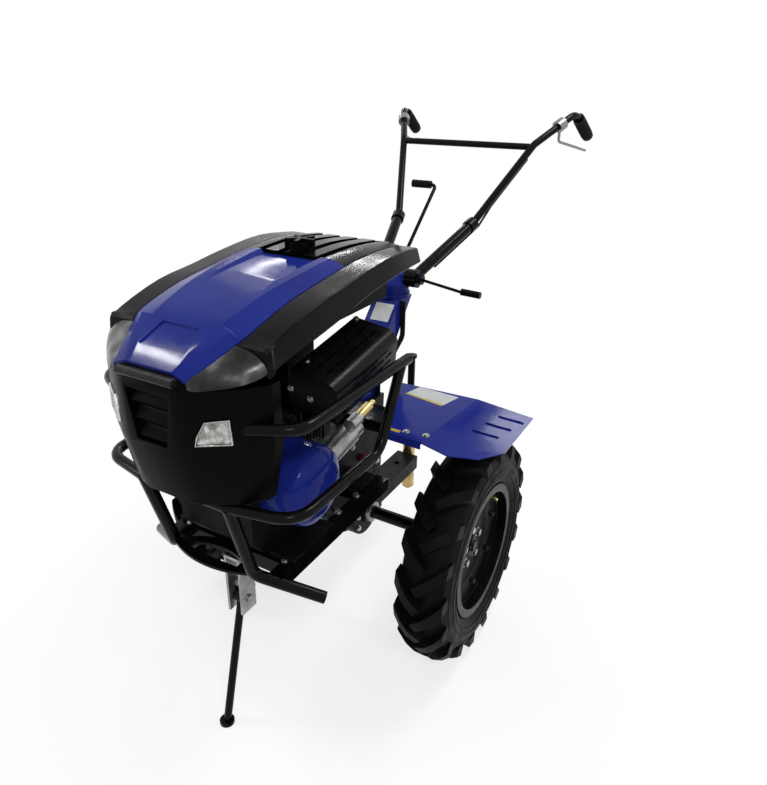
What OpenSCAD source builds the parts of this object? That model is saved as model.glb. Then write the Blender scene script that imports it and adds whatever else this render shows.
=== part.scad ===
// Walk-behind power tiller: two lugged wheels, a hooded engine behind a tube guard,
// a folding front stand and a handlebar that swivels and tilts on a column.
// Front is -Y, up is +Z and the machine's left is +X. The origin is on the ground.

/* [Wheels] */
// Diameter of a tyre over its lugs
tyre_d = 580; // [550:5:610]
// Width of a tyre
tyre_w = 128; // [116:2:150]
// Distance between the middles of the tyres
track = 690; // [670:5:740]
// Diameter of the rim where the tyre sits
rim_d = 320; // [290:5:340]
// Lug pairs round a tyre
lug_pairs = 18; // [12:1:20]
// Height of a lug over the casing
lug_h = 28; // [18:1:32]
// Diameter of a half shaft
shaft_d = 34; // [28:1:38]

/* [Frame] */
// Width of the gear case
case_w = 110; // [96:2:130]
// Radius of the gear case round the axle
case_r = 70; // [62:1:80]
// Distance between the middles of the frame rails
rail_gap = 284; // [270:2:296]
// Side of the square frame rails
rail_s = 32; // [26:1:36]
// Height of the rails' tops over the axle
rail_up = 170; // [162:1:172]
// How far the bumper's corners lie ahead of the axle
bumper_ahead = 528; // [518:1:540]
// Width over the bumper's tube ends
bumper_w = 458; // [420:2:500]
// Diameter of the bumper's tubes
bumper_d = 26; // [20:1:30]

/* [Guard] */
// Width between the middles of the guard's side tubes
guard_w = 480; // [466:2:520]
// Diameter of the guard's tubes
guard_d = 23; // [18:1:26]
// Height of the guard's lower tube over the axle
guard_low = 363; // [352:1:372]
// Height of the guard's upper tubes over the axle
guard_high = 533; // [522:1:546]

/* [Engine] */
// How far the crankshaft lies ahead of the axle
crank_ahead = 394; // [386:1:400]
// Height of the crankshaft over the axle
crank_up = 325; // [317:1:329]
// Diameter of the flywheel shroud
drum_d = 172; // [150:2:180]
// Length of the muffler's shield
shield_l = 240; // [220:2:256]
// Height of the muffler's shield
shield_h = 88; // [74:1:96]

/* [Hood] */
// Length of the hood from nose to back
hood_l = 648; // [630:2:670]
// Width of the hood
hood_w = 390; // [370:2:410]
// Height of the hood over its lower edge
hood_h = 160; // [140:2:180]
// Height of the hood's lower edge over the axle
hood_up = 590; // [580:1:610]

/* [Fenders] */
// Gap from a tyre's lugs up to the fenders' decks
fender_gap = 60; // [54:1:68]
// Width over both fenders
fender_w = 880; // [850:2:910]
// Slope of a fender's wing in degrees
wing_slope = 16; // [10:1:18]

/* [Handlebar] */
// How far the swivel lies behind the axle
swivel_back = 230; // [215:1:250]
// Height of the column's top over the axle
column_up = 556; // [540:1:590]
// Diameter of the handlebar's lower arms
arm_d = 30; // [26:1:36]
// Diameter of the handlebar's upper tubes
bar_d = 21; // [18:1:25]
// Width between the handlebar's bends
bar_w = 574; // [500:2:640]
// How far the handlebar's bends lie behind the axle
bar_back = 809; // [760:1:860]
// Height of the handlebar's bends over the axle
bar_up = 998; // [960:1:1040]
// Length of a grip
grip_l = 100; // [80:1:115]

/* [Stand and stake] */
// Diameter of the stand's leg
leg_d = 18; // [14:1:22]
// Lean of the stand's leg ahead of straight down in degrees
stand_lean = 15; // [10:1:18]
// Diameter of the drag stake
stake_d = 22; // [16:1:26]
// How far the drag stake lies behind the axle
stake_back = 355; // [330:1:370]

/* [Hidden] */
$fn = 48;

// Clearances
seat = 0.3;
running = 0.05;
cut = 5;

// Facets of a swept tube: sides round it and steps in a bend
tube_sides = 16;
bend_steps = 5;

// Colours
paint_blue = [0.10, 0.16, 0.62];
plastic_black = [0.08, 0.08, 0.09];
tube_black = [0.05, 0.05, 0.06];
iron_dark = [0.18, 0.18, 0.19];
metal_silver = [0.72, 0.72, 0.72];
metal_brass = [0.72, 0.60, 0.32];
brow_grey = [0.55, 0.56, 0.56];
lens_clear = [0.85, 0.87, 0.90];
rubber_black = [0.06, 0.06, 0.06];

// Gear case
case_front = 150;
case_back = 90;
boss_r = 34;
boss_l = 12;
seam_t = 14;
seam_out = 9;
pad_l = 80;
beam_h = 29;
beam_l = 80;
fender_t = 3;
fender_up = tyre_d / 2 + fender_gap;
deck_under = fender_up - fender_t;
case_top = deck_under - beam_h;
tail_w = 100;
tail_h = 90;
tail_l = 12;
tail_y = case_r + tail_l;
flange_r = 28;
flange_t = 12;
flange_x = case_w / 2 + boss_l;

// Frame rails and cross members
rail_x = rail_gap / 2;
rail_in = rail_x - rail_s / 2;
rail_under = rail_up - rail_s;
rail_front = bumper_ahead - bumper_d;
rail_back = case_front - pad_l;
cross_behind = 73;
cross_y = -bumper_ahead + cross_behind;
cross_back_y = -case_front - rail_s;

// Bumper tubes: each comes down from the guard, bends outwards and ends free
strut_x = 107;
corner_x = 105;
strut_lean = 55;
end_run = 70;
end_drop = 57;
corner_rise = 4;
guard_ahead = bumper_ahead + strut_lean;
corner_up = rail_up + corner_rise;
bumper_bend = 34;
strut_top = [strut_x, -guard_ahead, guard_low];
bumper_corner = [corner_x, -bumper_ahead, corner_up];
bumper_end = [bumper_w / 2, -bumper_ahead + end_run, corner_up - end_drop];
bumper_path = [strut_top, bumper_corner, bumper_end];

// Bow-shaped plate between the bumper's corners
bow_t = 6;
bow_front = 28;
bow_rear = 55;
bow_strip = 24;
bow_slot_w = 128;
bow_half = corner_x + bumper_d / 4;

// Stand and its bracket
pivot_y = cross_y;
pivot_drop = 118;
pivot_up = rail_under - pivot_drop;
bracket_w = 42;
bracket_l = 46;
bracket_t = 6;
bracket_h = 150;
pin_r = 6;
pin_head_r = 9;
pin_head_t = 5;
eye_r = 15;
eye_gap = 1;
leg_over = 30;
stop_r = 5;
foot_r = 17;
foot_t = 8;
axle_z = tyre_d / 2;
leg_drop = pivot_up + axle_z;
foot_y = pivot_y - leg_drop * tan(stand_lean);

// Guard tubes
guard_r = guard_d / 2;
guard_x = guard_w / 2;
guard_corner_back = 28;
guard_split_back = 90;
guard_foot_back = 132;
guard_post_back = 222;
guard_end_back = 32;
guard_corner_y = -guard_ahead + guard_corner_back;
guard_split_y = guard_corner_y + guard_split_back;
guard_bend = 55;
guard_foot_y = -crank_ahead + guard_foot_back;
guard_post_y = -crank_ahead + guard_post_back;
guard_end_y = guard_post_y + guard_end_back;
guard_front_half = [[guard_x, guard_split_y, guard_low], [guard_x, guard_corner_y, guard_low],
    [strut_x, -guard_ahead, guard_low]];
guard_side_path = [[guard_x, guard_split_y, guard_low], [guard_x, guard_foot_y, guard_low],
    [guard_x, guard_post_y, guard_high]];

// Front cowl, in shares of half its width and of its length, from the rear corner round to the front
cowl_narrow = 10;
cowl_w = hood_w - cowl_narrow;
cowl_l = 124;
cowl_gap = 13;
block_ahead = 111;
cowl_rear = -crank_ahead - block_ahead - cowl_gap;
cowl_front = cowl_rear - cowl_l;
cowl_lead = 11;
nose_y = cowl_front + cowl_lead;
cowl_low = guard_low + guard_r + seat;
cowl_rise = 20;
cowl_top = hood_up + cowl_rise;
cowl_shares = [[1, 0], [1, 0.18], [0.79, 0.61], [0.45, 0.92], [0.30, 1]];
chin_h = 111;
chin_in = 22;
chin_up = cowl_low + chin_h;
grille_d = 14;
grille_drop = 18;
grille_h = 98;
grille_w = 72;
grille_top_w = 104;
grille_top = cowl_top - grille_drop;
grille_low = grille_top - grille_h;
blade_count = 3;
blade_drop_first = 25;
blade_pitch = 33;
blade_h = 16;
blade_d = 10;
blade_gap = 2;
strip_w = 132;
strip_r = 9;
strip_t = 5;
lamp_w = 66;
lamp_h = 52;
lamp_d = 12;
lamp_proud = 3;
lamp_drop = 102;
lamp_low = cowl_top - lamp_drop;
lamp_shares = [[0, 0], [1, 0.06], [0.97, 1], [0.30, 0.90], [0.06, 0.35]];
upper_turn = 14;
upper_sink = [40, 58];
guard_upper_path = [[guard_x, guard_end_y, guard_high], [guard_x, cowl_rear - upper_turn, guard_high],
    [cowl_w / 2 - upper_sink[0], cowl_rear - upper_sink[1], guard_high]];

// Engine
block_left = 90;
block_right = 100;
block_behind = 84;
base_h = 10;
base_in = 4;
base_x = rail_x + rail_s / 2 - base_in;
base_ahead = 66;
block_rise = 75;
block_top = crank_up + block_rise;
block_shares = [[0.23, 0], [1, 0], [1, 0.88], [0.9, 1], [0.14, 1], [0, 0.82], [0, 0.22]];
drum_l = 88;
drum_dome = 22;
drum_face_share = 0.62;
barrel_w = 120;
barrel_l = 96;
barrel_under = 45;
barrel_over = 107;
barrel_low = crank_up - barrel_under;
barrel_top = crank_up + barrel_over;
fin_t = 4;
fin_count = 8;
fin_out = 12;
head_l = 40;
cover_l = 22;
cover_in = 14;
barrel_y = -crank_ahead + block_behind;
head_y = barrel_y + barrel_l;
barrel_x = barrel_w / 2 + fin_out;
starter_r = 24;
starter_l = 96;
starter_tilt = 10;
starter_out = 63;
starter_in = 4;
starter_under = 94;
starter_x = barrel_x + starter_out;
starter_y = barrel_y + starter_in;
starter_up = barrel_top - starter_under;
starter_cap_r = 20;
starter_cap_l = 28;
starter_foot_in = 14;
starter_foot_l = 40;
starter_foot_h = 20;
solenoid_from = 78;
solenoid_turn = 22;
solenoid_cup_r = 15;
solenoid_cup_l = 35;
solenoid_r = 12;
solenoid_l = 48;
solenoid_tip_r = 6;
solenoid_tip_l = 20;

// Muffler and its slotted shield
shield_w = 108;
shield_t = 4;
shield_round = 26;
shield_tilt = 9.5;
shield_roll = 9;
shield_x = 96;
shield_back = 142;
shield_under = 48;
shield_y = -crank_ahead + shield_back;
shield_low = guard_high - shield_under;
muffler_gap = 6;
slot_l = 28;
slot_h = 6;
slot_columns = 6;
slot_rows_side = 3;
slot_rows_top = 3;
slot_edge = 22;
pipe_r = 14;
pipe_in = 24;
pipe_back = 26;
pipe_x = shield_x + pipe_in;
pipe_y = barrel_y + pipe_back;

// Air filter, belt guard and tank, on the side that the photograph hides
filter_r = 52;
filter_h = 100;
filter_x = -152;
filter_ahead = 48;
filter_rise = 8;
filter_y = -crank_ahead - filter_ahead;
filter_low = block_top + filter_rise;
filter_pipe_r = 18;
belt_in = 164;
belt_w = 62;
belt_front_r = 68;
belt_back_r = 84;
belt_back_y = -44;
belt_under = 30;
belt_back_up = case_top - belt_back_r - belt_under;
belt_boss_r = 38;
tank_left = 118;
tank_right = 118;
tank_behind = 8;
tank_front = -crank_ahead + tank_behind;
tank_past = 41;
tank_back = nose_y + hood_l - tank_past;
tank_lift = 188;
tank_low = barrel_top + tank_lift;
tank_saddle_w = 90;
tank_share = 0.62;
tank_top = hood_up + hood_h * tank_share;
neck_r = 22;

// Hood stations from nose to back: length, flat half width and height, edge half width and height,
// ridge half width and height, lower edge half width and height
hood_shares = [
    [0.00, 0.28, 0.29, 0.43, 0.22, 0.46, 0.18, 0.50, 0.13],
    [0.08, 0.35, 0.48, 0.55, 0.39, 0.72, 0.30, 0.82, 0.14],
    [0.13, 0.38, 0.59, 0.62, 0.50, 0.93, 0.46, 0.97, 0.20],
    [0.18, 0.41, 0.68, 0.665, 0.59, 0.96, 0.57, 0.985, 0.28],
    [0.33, 0.46, 0.84, 0.675, 0.755, 0.97, 0.745, 1.00, 0.39],
    [0.48, 0.49, 0.93, 0.68, 0.845, 0.97, 0.82, 1.00, 0.49],
    [0.625, 0.51, 0.99, 0.68, 0.92, 0.97, 0.90, 1.00, 0.61],
    [0.82, 0.53, 1.00, 0.68, 0.96, 0.96, 0.965, 1.00, 0.70],
    [1.00, 0.50, 0.93, 0.655, 0.90, 0.90, 0.90, 0.95, 0.70]];
hood_split = 6;
shell_first = 2;
hood_steps = 3;
panel_t = 5;
scoop_d = 9;
scoop_shares = [0.27, 0.64];
scoop_share = 0.78;
scoop_floor_share = 0.86;
notch_share = 0.155;
notch_out = 5;
notch_rise = 6;
fold_share = 0.5;
recess_d = 3.5;
recess_w = 114;
recess_top_w = 84;
recess_shares = [0.04, 0.135];
rear_t = 14;
groove_count = 4;
groove_d = 9;
groove_share = 0.4;
ring_share = 0.15;
ring_out = 4;
brow_in = 13;
brow_out = 55;
brow_lift = 22;
brow_steps = 4;
cap_share = 0.685;
cap_r = 26;
cap_h = 12;
cap_y = nose_y + hood_l * cap_share;
cap_lift = 3;
cap_low = hood_up + hood_h + cap_lift;
wing_count = 5;
wing_t = 8;
wing_r = 34;
wing_h = 20;

// Fenders: deck corners in shares of the fold's distance and the deck's length, wing corners in
// shares of the fold's length and the wing's width
fender_front = 160;
fender_l = 274;
fold_x = 296;
fender_out = fender_w / 2;
wing_w = (fender_out - fold_x) / cos(wing_slope);
deck_shares = [[0.62, 0.02], [0.96, 0], [1.04, 1], [0.26, 0.97]];
wing_shares = [[0, 0], [0.04, 0.43], [0.22, 0.79], [0.49, 1], [1.2, 0.90], [1, 0]];
lip_h = 16;
rib_count = 3;
rib_w = 8;
rib_h = 4;
rib_share = 0.42;
beam_half = 268;
beam_front = 118;

// Column and swivel, with the cables clipped to the column's side
column_cable_r = 3.5;
column_cable_y = 200;
column_cable_run = 100;
column_cable_foot_y = 68;
column_cable_foot = 40;
column_cable_bend = 24;
column_w = 78;
column_shares = [[-0.10, 0], [0.34, 0], [1.15, 1], [0.84, 1]];
column_flange_r = 45;
column_flange_t = 12;
swivel_r = 12;
swivel_l = 34;
head_r = 42;
head_h = 24;
head_share = 0.6;
head_gap = 3;
tilt_behind = 8;
tilt_rise = 40;
tilt_y = swivel_back + tilt_behind;
tilt_up = column_up + tilt_rise;
tilt_tube_r = 24;
tilt_half = 36;
tilt_pin_r = 8;
tilt_pin_out = 74;
arm_eye_r = 24;
arm_eye_l = 34;
nut_r = 14;
nut_t = 9;
clamp_rod_r = 4;
clamp_rod_l = 117;
clamp_drop = 18;
clamp_grip_r = 9;
clamp_grip_l = 48;
lever_r = 5;
lever_run = 243;
lever_rise = 252;
lever_foot = [0, tilt_y, tilt_up];
lever_head = [0, swivel_back + lever_run, column_up + lever_rise];
lever_side = 74;
lever_grip_r = 11;
lever_grip_l = 58;
lever_bend = 14;

// Handlebar, on the machine's left
arm_foot_x = 54;
arm_top_x = 120;
arm_run = 247;
arm_rise = 157;
knee_share = 0.37;
knee_ahead = 136;
knee_drop = 83;
arm_foot = [arm_foot_x, tilt_y, tilt_up];
arm_top = [arm_top_x, swivel_back + arm_run, column_up + arm_rise];
bar_knee = [bar_w * knee_share, bar_back - knee_ahead, bar_up - knee_drop];
bar_bend = [bar_w / 2, bar_back, bar_up];
tail_drop = 30;
tail_run = 130;
tail_flare = 12;
bar_tail = bar_bend + [tail_flare, tail_run * cos(tail_drop), -tail_run * sin(tail_drop)];
bar_path = [arm_top, bar_knee, bar_bend, bar_tail];
bar_bend_r = 42;
collar_wall = 4;
collar_r = arm_d / 2 + collar_wall;
collar_l = 26;
cross_share = 0.97;
grip_r = 17;
lever_ring_l = 26;
lever_ring_r = 18;
blade_r = 4;
blade_drop = 46;
cable_r = 3;

// Hitch and drag stake
hitch_w = 70;
hitch_plate_t = 10;
hitch_plate_h = 88;
hitch_bar_h = 44;
hitch_pin_r = 8;
hitch_pin_back = 60;
hitch_drop = 30;
sleeve_wall = 8;
sleeve_over = 160;
sleeve_low = -axle_z + sleeve_over;
sleeve_top = 44;
sleeve_r = stake_d / 2 + sleeve_wall;
stake_under = 6;
stake_low = sleeve_low - stake_under;
stake_top = 326;
stake_cap_wall = 5;
stake_cap_r = stake_d / 2 + stake_cap_wall;
stake_cap_t = 8;

// Wheels
casing_r = tyre_d / 2 - lug_h;
bead_r = rim_d / 2 + seat;
rim_half = 50;
rim_edge = 6;
rim_wall = 9;
rim_lip = 12;
tyre_shares = [[0.90, 0.20], [0.99, 0.38], [1, 0.52], [0.94, 0.76], [0.82, 0.90], [0.5, 0.98], [0, 1]];
lug_shares = [[1, 0.80], [0.97, 0.925], [0.62, 0.975], [0.25, 1]];
lug_angle = 42;
lug_t = 23;
lug_root = 30;
lug_reach_share = 0.98;
disc_out = 6;
disc_x = track / 2 + disc_out;
disc_t = 7;
disc_dish = 16;
disc_flat_r = 100;
hub_r = 26;
hub_l = 64;
hub_flange_r = 66;
hub_flange_t = 9;
hub_cap_l = 14;
shaft_in = 8;

// Origin of the part: halfway between the front of the cowl and the ends of the grips
front_y = cowl_front - strip_t;
back_y = bar_tail[1] + grip_r * sin(tail_drop);
axle_y = -(front_y + back_y) / 2;

function unit(v) = v / norm(v);
function mirror_x(p) = [-p[0], p[1], p[2]];
function mirrored(path) = [for (p = path) mirror_x(p)];
function reversed(list) = [for (i = [len(list) - 1:-1:0]) list[i]];
function mix(a, b, t) = a + (b - a) * t;
function rows(x, y, z, o) = [[x[0], y[0], z[0], o[0]], [x[1], y[1], z[1], o[1]],
    [x[2], y[2], z[2], o[2]], [0, 0, 0, 1]];
function off_axis(d) = abs(unit(d)[2]) < 0.9 ? [0, 0, 1] : [1, 0, 0];
function along(o, d) = let (z = unit(d), x = unit(cross(off_axis(d), z))) rows(x, cross(z, x), z, o);
function heading(path, i) = unit(path[i + 1] - path[i]);
function turn_at(path, i) = acos(heading(path, i - 1) * heading(path, i));
function under(d, gap) = [0, 0, -gap / norm(cross(unit(d), [0, 0, 1]))];
function setback(path, i, bend_r) =
    i == 0 || i == len(path) - 1 ? 0 : bend_r * tan(turn_at(path, i) / 2);

// Shapes are drawn round the axle and then set over the ground.
module at_axle() {
    translate([0, axle_y, axle_z]) children();
}

module both_sides() {
    children();
    mirror([1, 0, 0]) children();
}

// Round bar from one point to another.
module rod(a, b, r) {
    multmatrix(along(a, b - a)) cylinder(r = r, h = norm(b - a));
}

// Cylinder along X between two places.
module cross_rod(x0, x1, y, z, r) {
    translate([min(x0, x1), y, z]) rotate([0, 90, 0]) cylinder(r = r, h = abs(x1 - x0));
}

// Places along a path with round bends: each a point and the way the path runs there.
function bend_places(path, i, bend_r) = let (d0 = heading(path, i - 1), d1 = heading(path, i),
    side = unit(d1 - d0 * (d0 * d1)), middle = path[i] - d0 * setback(path, i, bend_r) + side * bend_r)
    [for (k = [0:bend_steps]) let (a = turn_at(path, i) * k / bend_steps)
        [middle + (d0 * sin(a) - side * cos(a)) * bend_r, d0 * cos(a) + side * sin(a)]];
function path_places(path, bend_r) = let (last = len(path) - 1) concat([[path[0], heading(path, 0)]],
    [for (i = [1:1:last - 1]) each bend_places(path, i, bend_r)], [[path[last], heading(path, last - 1)]]);
function carried(side, d) = unit(side - d * (side * d));
function sides_along(places, side, i = 0) = i == len(places) ? [] :
    let (s = carried(side, places[i][1])) concat([s], sides_along(places, s, i + 1));

// Tube swept along a path with round bends.
module tube(path, r, bend_r) {
    places = path_places(path, bend_r);
    across = sides_along(places, off_axis(heading(path, 0)));
    loft([for (i = [0:len(places) - 1]) let (s = across[i], t = cross(s, places[i][1]))
        [for (j = [0:tube_sides - 1]) let (a = 360 * j / tube_sides)
            places[i][0] + (s * cos(a) + t * sin(a)) * r]]);
}

// Closed solid through a row of loops that run the same way and have as many points each.
module loft(loops) {
    n = len(loops[0]);
    m = len(loops);
    sides = [for (i = [0:m - 2], j = [0:n - 1]) let (k = (j + 1) % n)
        each [[i * n + j, i * n + k, i * n + n + k], [i * n + j, i * n + n + k, i * n + n + j]]];
    front = [for (j = [0:n - 1]) n - 1 - j];
    back = [for (j = [0:n - 1]) (m - 1) * n + j];
    polyhedron([for (loop = loops) each loop], concat([front], sides, [back]));
}

module box(low, high) {
    translate(low) cube(high - low);
}

// Flat outline in Y and Z, extruded along X.
module side_slab(x0, x1) {
    translate([x0, 0, 0]) rotate([90, 0, 90]) linear_extrude(x1 - x0) children();
}

// Gear case round the axle, with rail pads, axle bosses and the pad for the hitch.
module gearbox() {
    at_axle() color(iron_dark) difference() {
        union() {
            side_slab(-case_w / 2, case_w / 2) union() {
                circle(r = case_r, $fn = 96);
                polygon([[-case_r, 0], [-case_front, rail_under], [-case_front, case_top],
                    [case_back, case_top], [case_r, 0]]);
            }
            side_slab(-seam_t / 2, seam_t / 2) union() {
                circle(r = case_r + seam_out, $fn = 96);
                polygon([[-case_r - seam_out, 0], [-case_front, rail_under - seam_out], [-case_front, case_top],
                    [0, case_top], [case_r + seam_out, 0]]);
            }
            cross_rod(-flange_x, flange_x, 0, 0, boss_r);
            both_sides() box([case_w / 2 - cut, -case_front, rail_under],
                [rail_in, -rail_back, rail_up]);
            box([-tail_w / 2, 0, -tail_h / 2], [tail_w / 2, tail_y, tail_h / 2]);
        }
        cross_rod(-flange_x - cut, flange_x + cut, 0, 0, shaft_d / 2 + running);
    }
}

// Bright seal flanges on the axle bosses.
module axle_flanges() {
    at_axle() color(metal_silver) both_sides() difference() {
        cross_rod(flange_x, flange_x + flange_t, 0, 0, flange_r);
        cross_rod(flange_x - cut, flange_x + flange_t + cut, 0, 0, shaft_d / 2 + seat);
    }
}

// Two square rails under the engine with cross members.
module frame_rails() {
    at_axle() color(tube_black) difference() {
        union() {
            both_sides() box([rail_in, -rail_front, rail_under], [rail_in + rail_s, -rail_back, rail_up]);
            for (y = [cross_y, cross_back_y])
                box([-rail_in - cut, y - rail_s / 2, rail_under], [rail_in + cut, y + rail_s / 2, rail_up]);
        }
        both_sides() tube(bumper_path, bumper_d / 2 + seat, bumper_bend);
    }
}

module bumper_tubes() {
    at_axle() color(tube_black) both_sides() difference() {
        tube(bumper_path, bumper_d / 2, bumper_bend);
        guard_front_tube(guard_r + seat);
    }
}

// Lens between two arcs that meet at the bumper's corners.
module bow_outline(half, front, rear) {
    front_r = (half * half + front * front) / (2 * front);
    rear_r = (half * half + rear * rear) / (2 * rear);
    intersection() {
        translate([0, front_r - front]) circle(r = front_r, $fn = 180);
        translate([0, rear - rear_r]) circle(r = rear_r, $fn = 180);
    }
}

module bumper_plate() {
    at_axle() color(iron_dark) difference() {
        translate([0, -bumper_ahead, corner_up - bow_t / 2]) linear_extrude(bow_t) difference() {
            bow_outline(bow_half, bow_front, bow_rear);
            intersection() {
                bow_outline(bow_half - bow_strip, bow_front - bow_strip, bow_rear - bow_strip);
                square([bow_slot_w, bow_rear * 2], center = true);
            }
        }
        both_sides() tube(bumper_path, bumper_d / 2 + seat, bumper_bend);
    }
}

// Stand bracket: a channel under the front cross member with the pivot pin and the leg's stop.
module stand_bracket() {
    at_axle() color(metal_silver) {
        translate([0, pivot_y, 0]) {
            box([-bracket_w / 2, -bracket_l / 2, rail_under - bracket_t],
                [bracket_w / 2, bracket_l / 2, rail_under]);
            both_sides() box([bracket_w / 2 - bracket_t, -bracket_l / 2, rail_under - bracket_h],
                [bracket_w / 2, bracket_l / 2, rail_under - bracket_t + seat]);
        }
        cross_rod(-bracket_w / 2 - pin_head_t, bracket_w / 2 + pin_head_t, pivot_y, pivot_up, pin_r);
        both_sides() cross_rod(bracket_w / 2 - seat, bracket_w / 2 + pin_head_t, pivot_y, pivot_up, pin_head_r);
        translate([0, pivot_y, pivot_up]) rotate([-stand_lean, 0, 0])
            translate([0, leg_d / 2 + stop_r + seat, leg_over - stop_r])
            cross_rod(-bracket_w / 2 + seat, bracket_w / 2 - seat, 0, 0, stop_r);
    }
}

// Leg with a round eye at the pivot and a flat foot on the ground.
module stand_leg() {
    leg_dir = unit([0, foot_y - pivot_y, -leg_drop]);
    pivot = [0, pivot_y, pivot_up];
    foot = [0, foot_y, -axle_z];
    at_axle() color(tube_black) difference() {
        union() {
            rod(pivot - leg_dir * leg_over, foot - leg_dir * foot_t, leg_d / 2);
            cross_rod(-bracket_w / 2 + bracket_t + eye_gap, bracket_w / 2 - bracket_t - eye_gap,
                pivot_y, pivot_up, eye_r);
            translate(foot) cylinder(r = foot_r, h = foot_t);
        }
        cross_rod(-bracket_w, bracket_w, pivot_y, pivot_up, pin_r + running);
    }
}

module guard_front_tube(r) {
    tube(concat(guard_front_half, reversed(mirrored(guard_front_half))), r, guard_bend);
}

module guard_front() {
    at_axle() color(tube_black) guard_front_tube(guard_r);
}

module guard_sides() {
    at_axle() color(tube_black) both_sides() difference() {
        tube(guard_side_path, guard_r, guard_bend);
        tube(guard_upper_path, guard_r + seat, guard_bend);
    }
}

module guard_uppers() {
    at_axle() color(tube_black) both_sides() difference() {
        tube(guard_upper_path, guard_r, guard_bend);
        cowl_block(seat);
    }
}

// Engine block on its base plate, closed inside.
module engine_block() {
    at_axle() color(iron_dark) {
        box([-base_x, -crank_ahead - base_ahead, rail_up], [base_x, -crank_ahead + block_behind, rail_up + base_h]);
        side_slab(-block_right, block_left)
            polygon([for (s = block_shares) [-crank_ahead - block_ahead + s[0] * (block_ahead + block_behind),
                rail_up + s[1] * (block_top - rail_up)]]);
    }
}

// Finned cylinder lying back, with the head and its bright cover.
module cylinder_fins() {
    for (i = [0:fin_count - 1])
        translate([0, barrel_y + (i + 0.5) * barrel_l / fin_count, 0])
            box([-barrel_x, -fin_t / 2, barrel_low - fin_out], [barrel_x, fin_t / 2, barrel_top]);
}

module finned_cylinder() {
    at_axle() color(metal_silver) {
        box([-barrel_w / 2, barrel_y, barrel_low], [barrel_w / 2, head_y, barrel_top - fin_out]);
        cylinder_fins();
        box([-barrel_x, head_y - fin_t, barrel_low - fin_out], [barrel_x, head_y + head_l, barrel_top]);
        box([-barrel_x + cover_in, head_y, barrel_low + cover_in],
            [barrel_x - cover_in, head_y + head_l + cover_l, barrel_top - cover_in]);
    }
}

// Blue drum over the flywheel, domed on its outer face.
module flywheel_shroud() {
    at_axle() color(paint_blue) translate([block_left, -crank_ahead, crank_up]) rotate([0, 90, 0])
        rotate_extrude($fn = 96) polygon([[0, 0], [drum_d / 2, 0], [drum_d / 2, drum_l - drum_dome],
            [drum_d / 2 * 0.95, drum_l - drum_dome / 3], [drum_d / 2 * 0.86, drum_l],
            [drum_d / 2 * drum_face_share, drum_l + drum_dome / 2], [0, drum_l + drum_dome / 2]]);
}

// The starter lies along the cylinder's side, leaning up to the back.
module at_starter() {
    translate([starter_x, starter_y, starter_up]) rotate([starter_tilt - 90, 0, 0]) children();
}

module at_solenoid() {
    apart = starter_r + solenoid_cup_r + seat;
    at_starter() translate([apart * sin(solenoid_turn), -apart * cos(solenoid_turn), solenoid_from]) children();
}

// Starter motor on its foot, with the solenoid's bright cup beside it.
module starter_motor() {
    at_axle() color(metal_silver) {
        at_starter() {
            cylinder(r = starter_r, h = starter_l);
            translate([0, 0, starter_l - seat]) cylinder(r = starter_cap_r, h = starter_cap_l);
        }
        at_solenoid() cylinder(r = solenoid_cup_r, h = solenoid_cup_l);
        translate([barrel_x, starter_y + starter_foot_in, starter_up - starter_foot_h / 2])
            cube([starter_out, starter_foot_l, starter_foot_h]);
    }
}

module solenoid() {
    at_axle() color(metal_brass) at_solenoid() translate([0, 0, solenoid_cup_l]) {
        cylinder(r = solenoid_r, h = solenoid_l);
        translate([0, 0, solenoid_l - seat]) cylinder(r = solenoid_tip_r, h = solenoid_tip_l);
    }
}

// The shield's own frame: its length along Y, leaning up to the back and rolled down to the outside.
module at_shield() {
    translate([shield_x, shield_y, shield_low]) rotate([shield_tilt, 0, 0])
        translate([shield_w, 0, 0]) rotate([0, shield_roll, 0]) translate([-shield_w, 0, 0]) children();
}

// Box with its top outer edge rounded, open below and on its inner side when hollow.
module rounded_run(inset, length) {
    w = shield_w - inset;
    h = shield_h - inset;
    r = shield_round - inset;
    rotate([90, 0, 0]) translate([0, 0, -length / 2]) linear_extrude(length) union() {
        square([w - r, h]);
        square([w, h - r]);
        translate([w - r, h - r]) circle(r = r);
    }
}

module shield_slots() {
    pitch = (shield_l - 2 * slot_edge) / slot_columns;
    row_side = (shield_h - shield_round - slot_h) / slot_rows_side;
    row_top = (shield_w - shield_round - slot_h) / slot_rows_top;
    for (c = [0:slot_columns - 1]) translate([0, -shield_l / 2 + slot_edge + (c + 0.5) * pitch, 0]) {
        for (k = [0:slot_rows_side - 1])
            box([shield_w - shield_t - cut, -slot_l / 2, (k + 0.5) * row_side],
                [shield_w + cut, slot_l / 2, (k + 0.5) * row_side + slot_h]);
        for (k = [0:slot_rows_top - 1])
            box([(k + 0.5) * row_top, -slot_l / 2, shield_h - shield_t - cut],
                [(k + 0.5) * row_top + slot_h, slot_l / 2, shield_h + cut]);
    }
}

module muffler_shield() {
    at_axle() color(plastic_black) at_shield() difference() {
        rounded_run(0, shield_l);
        shield_hollow();
        shield_slots();
    }
}

// Hollow of the shield: the same run one wall in, carried past the open sides.
module shield_hollow() {
    half = shield_l / 2 - shield_t;
    rounded_run(shield_t, 2 * half);
    box([-cut, -half, -cut], [shield_w - shield_t, half, shield_h - shield_round]);
    box([-cut, -half, -cut], [shield_w - shield_round, half, shield_h - shield_t]);
}

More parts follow.
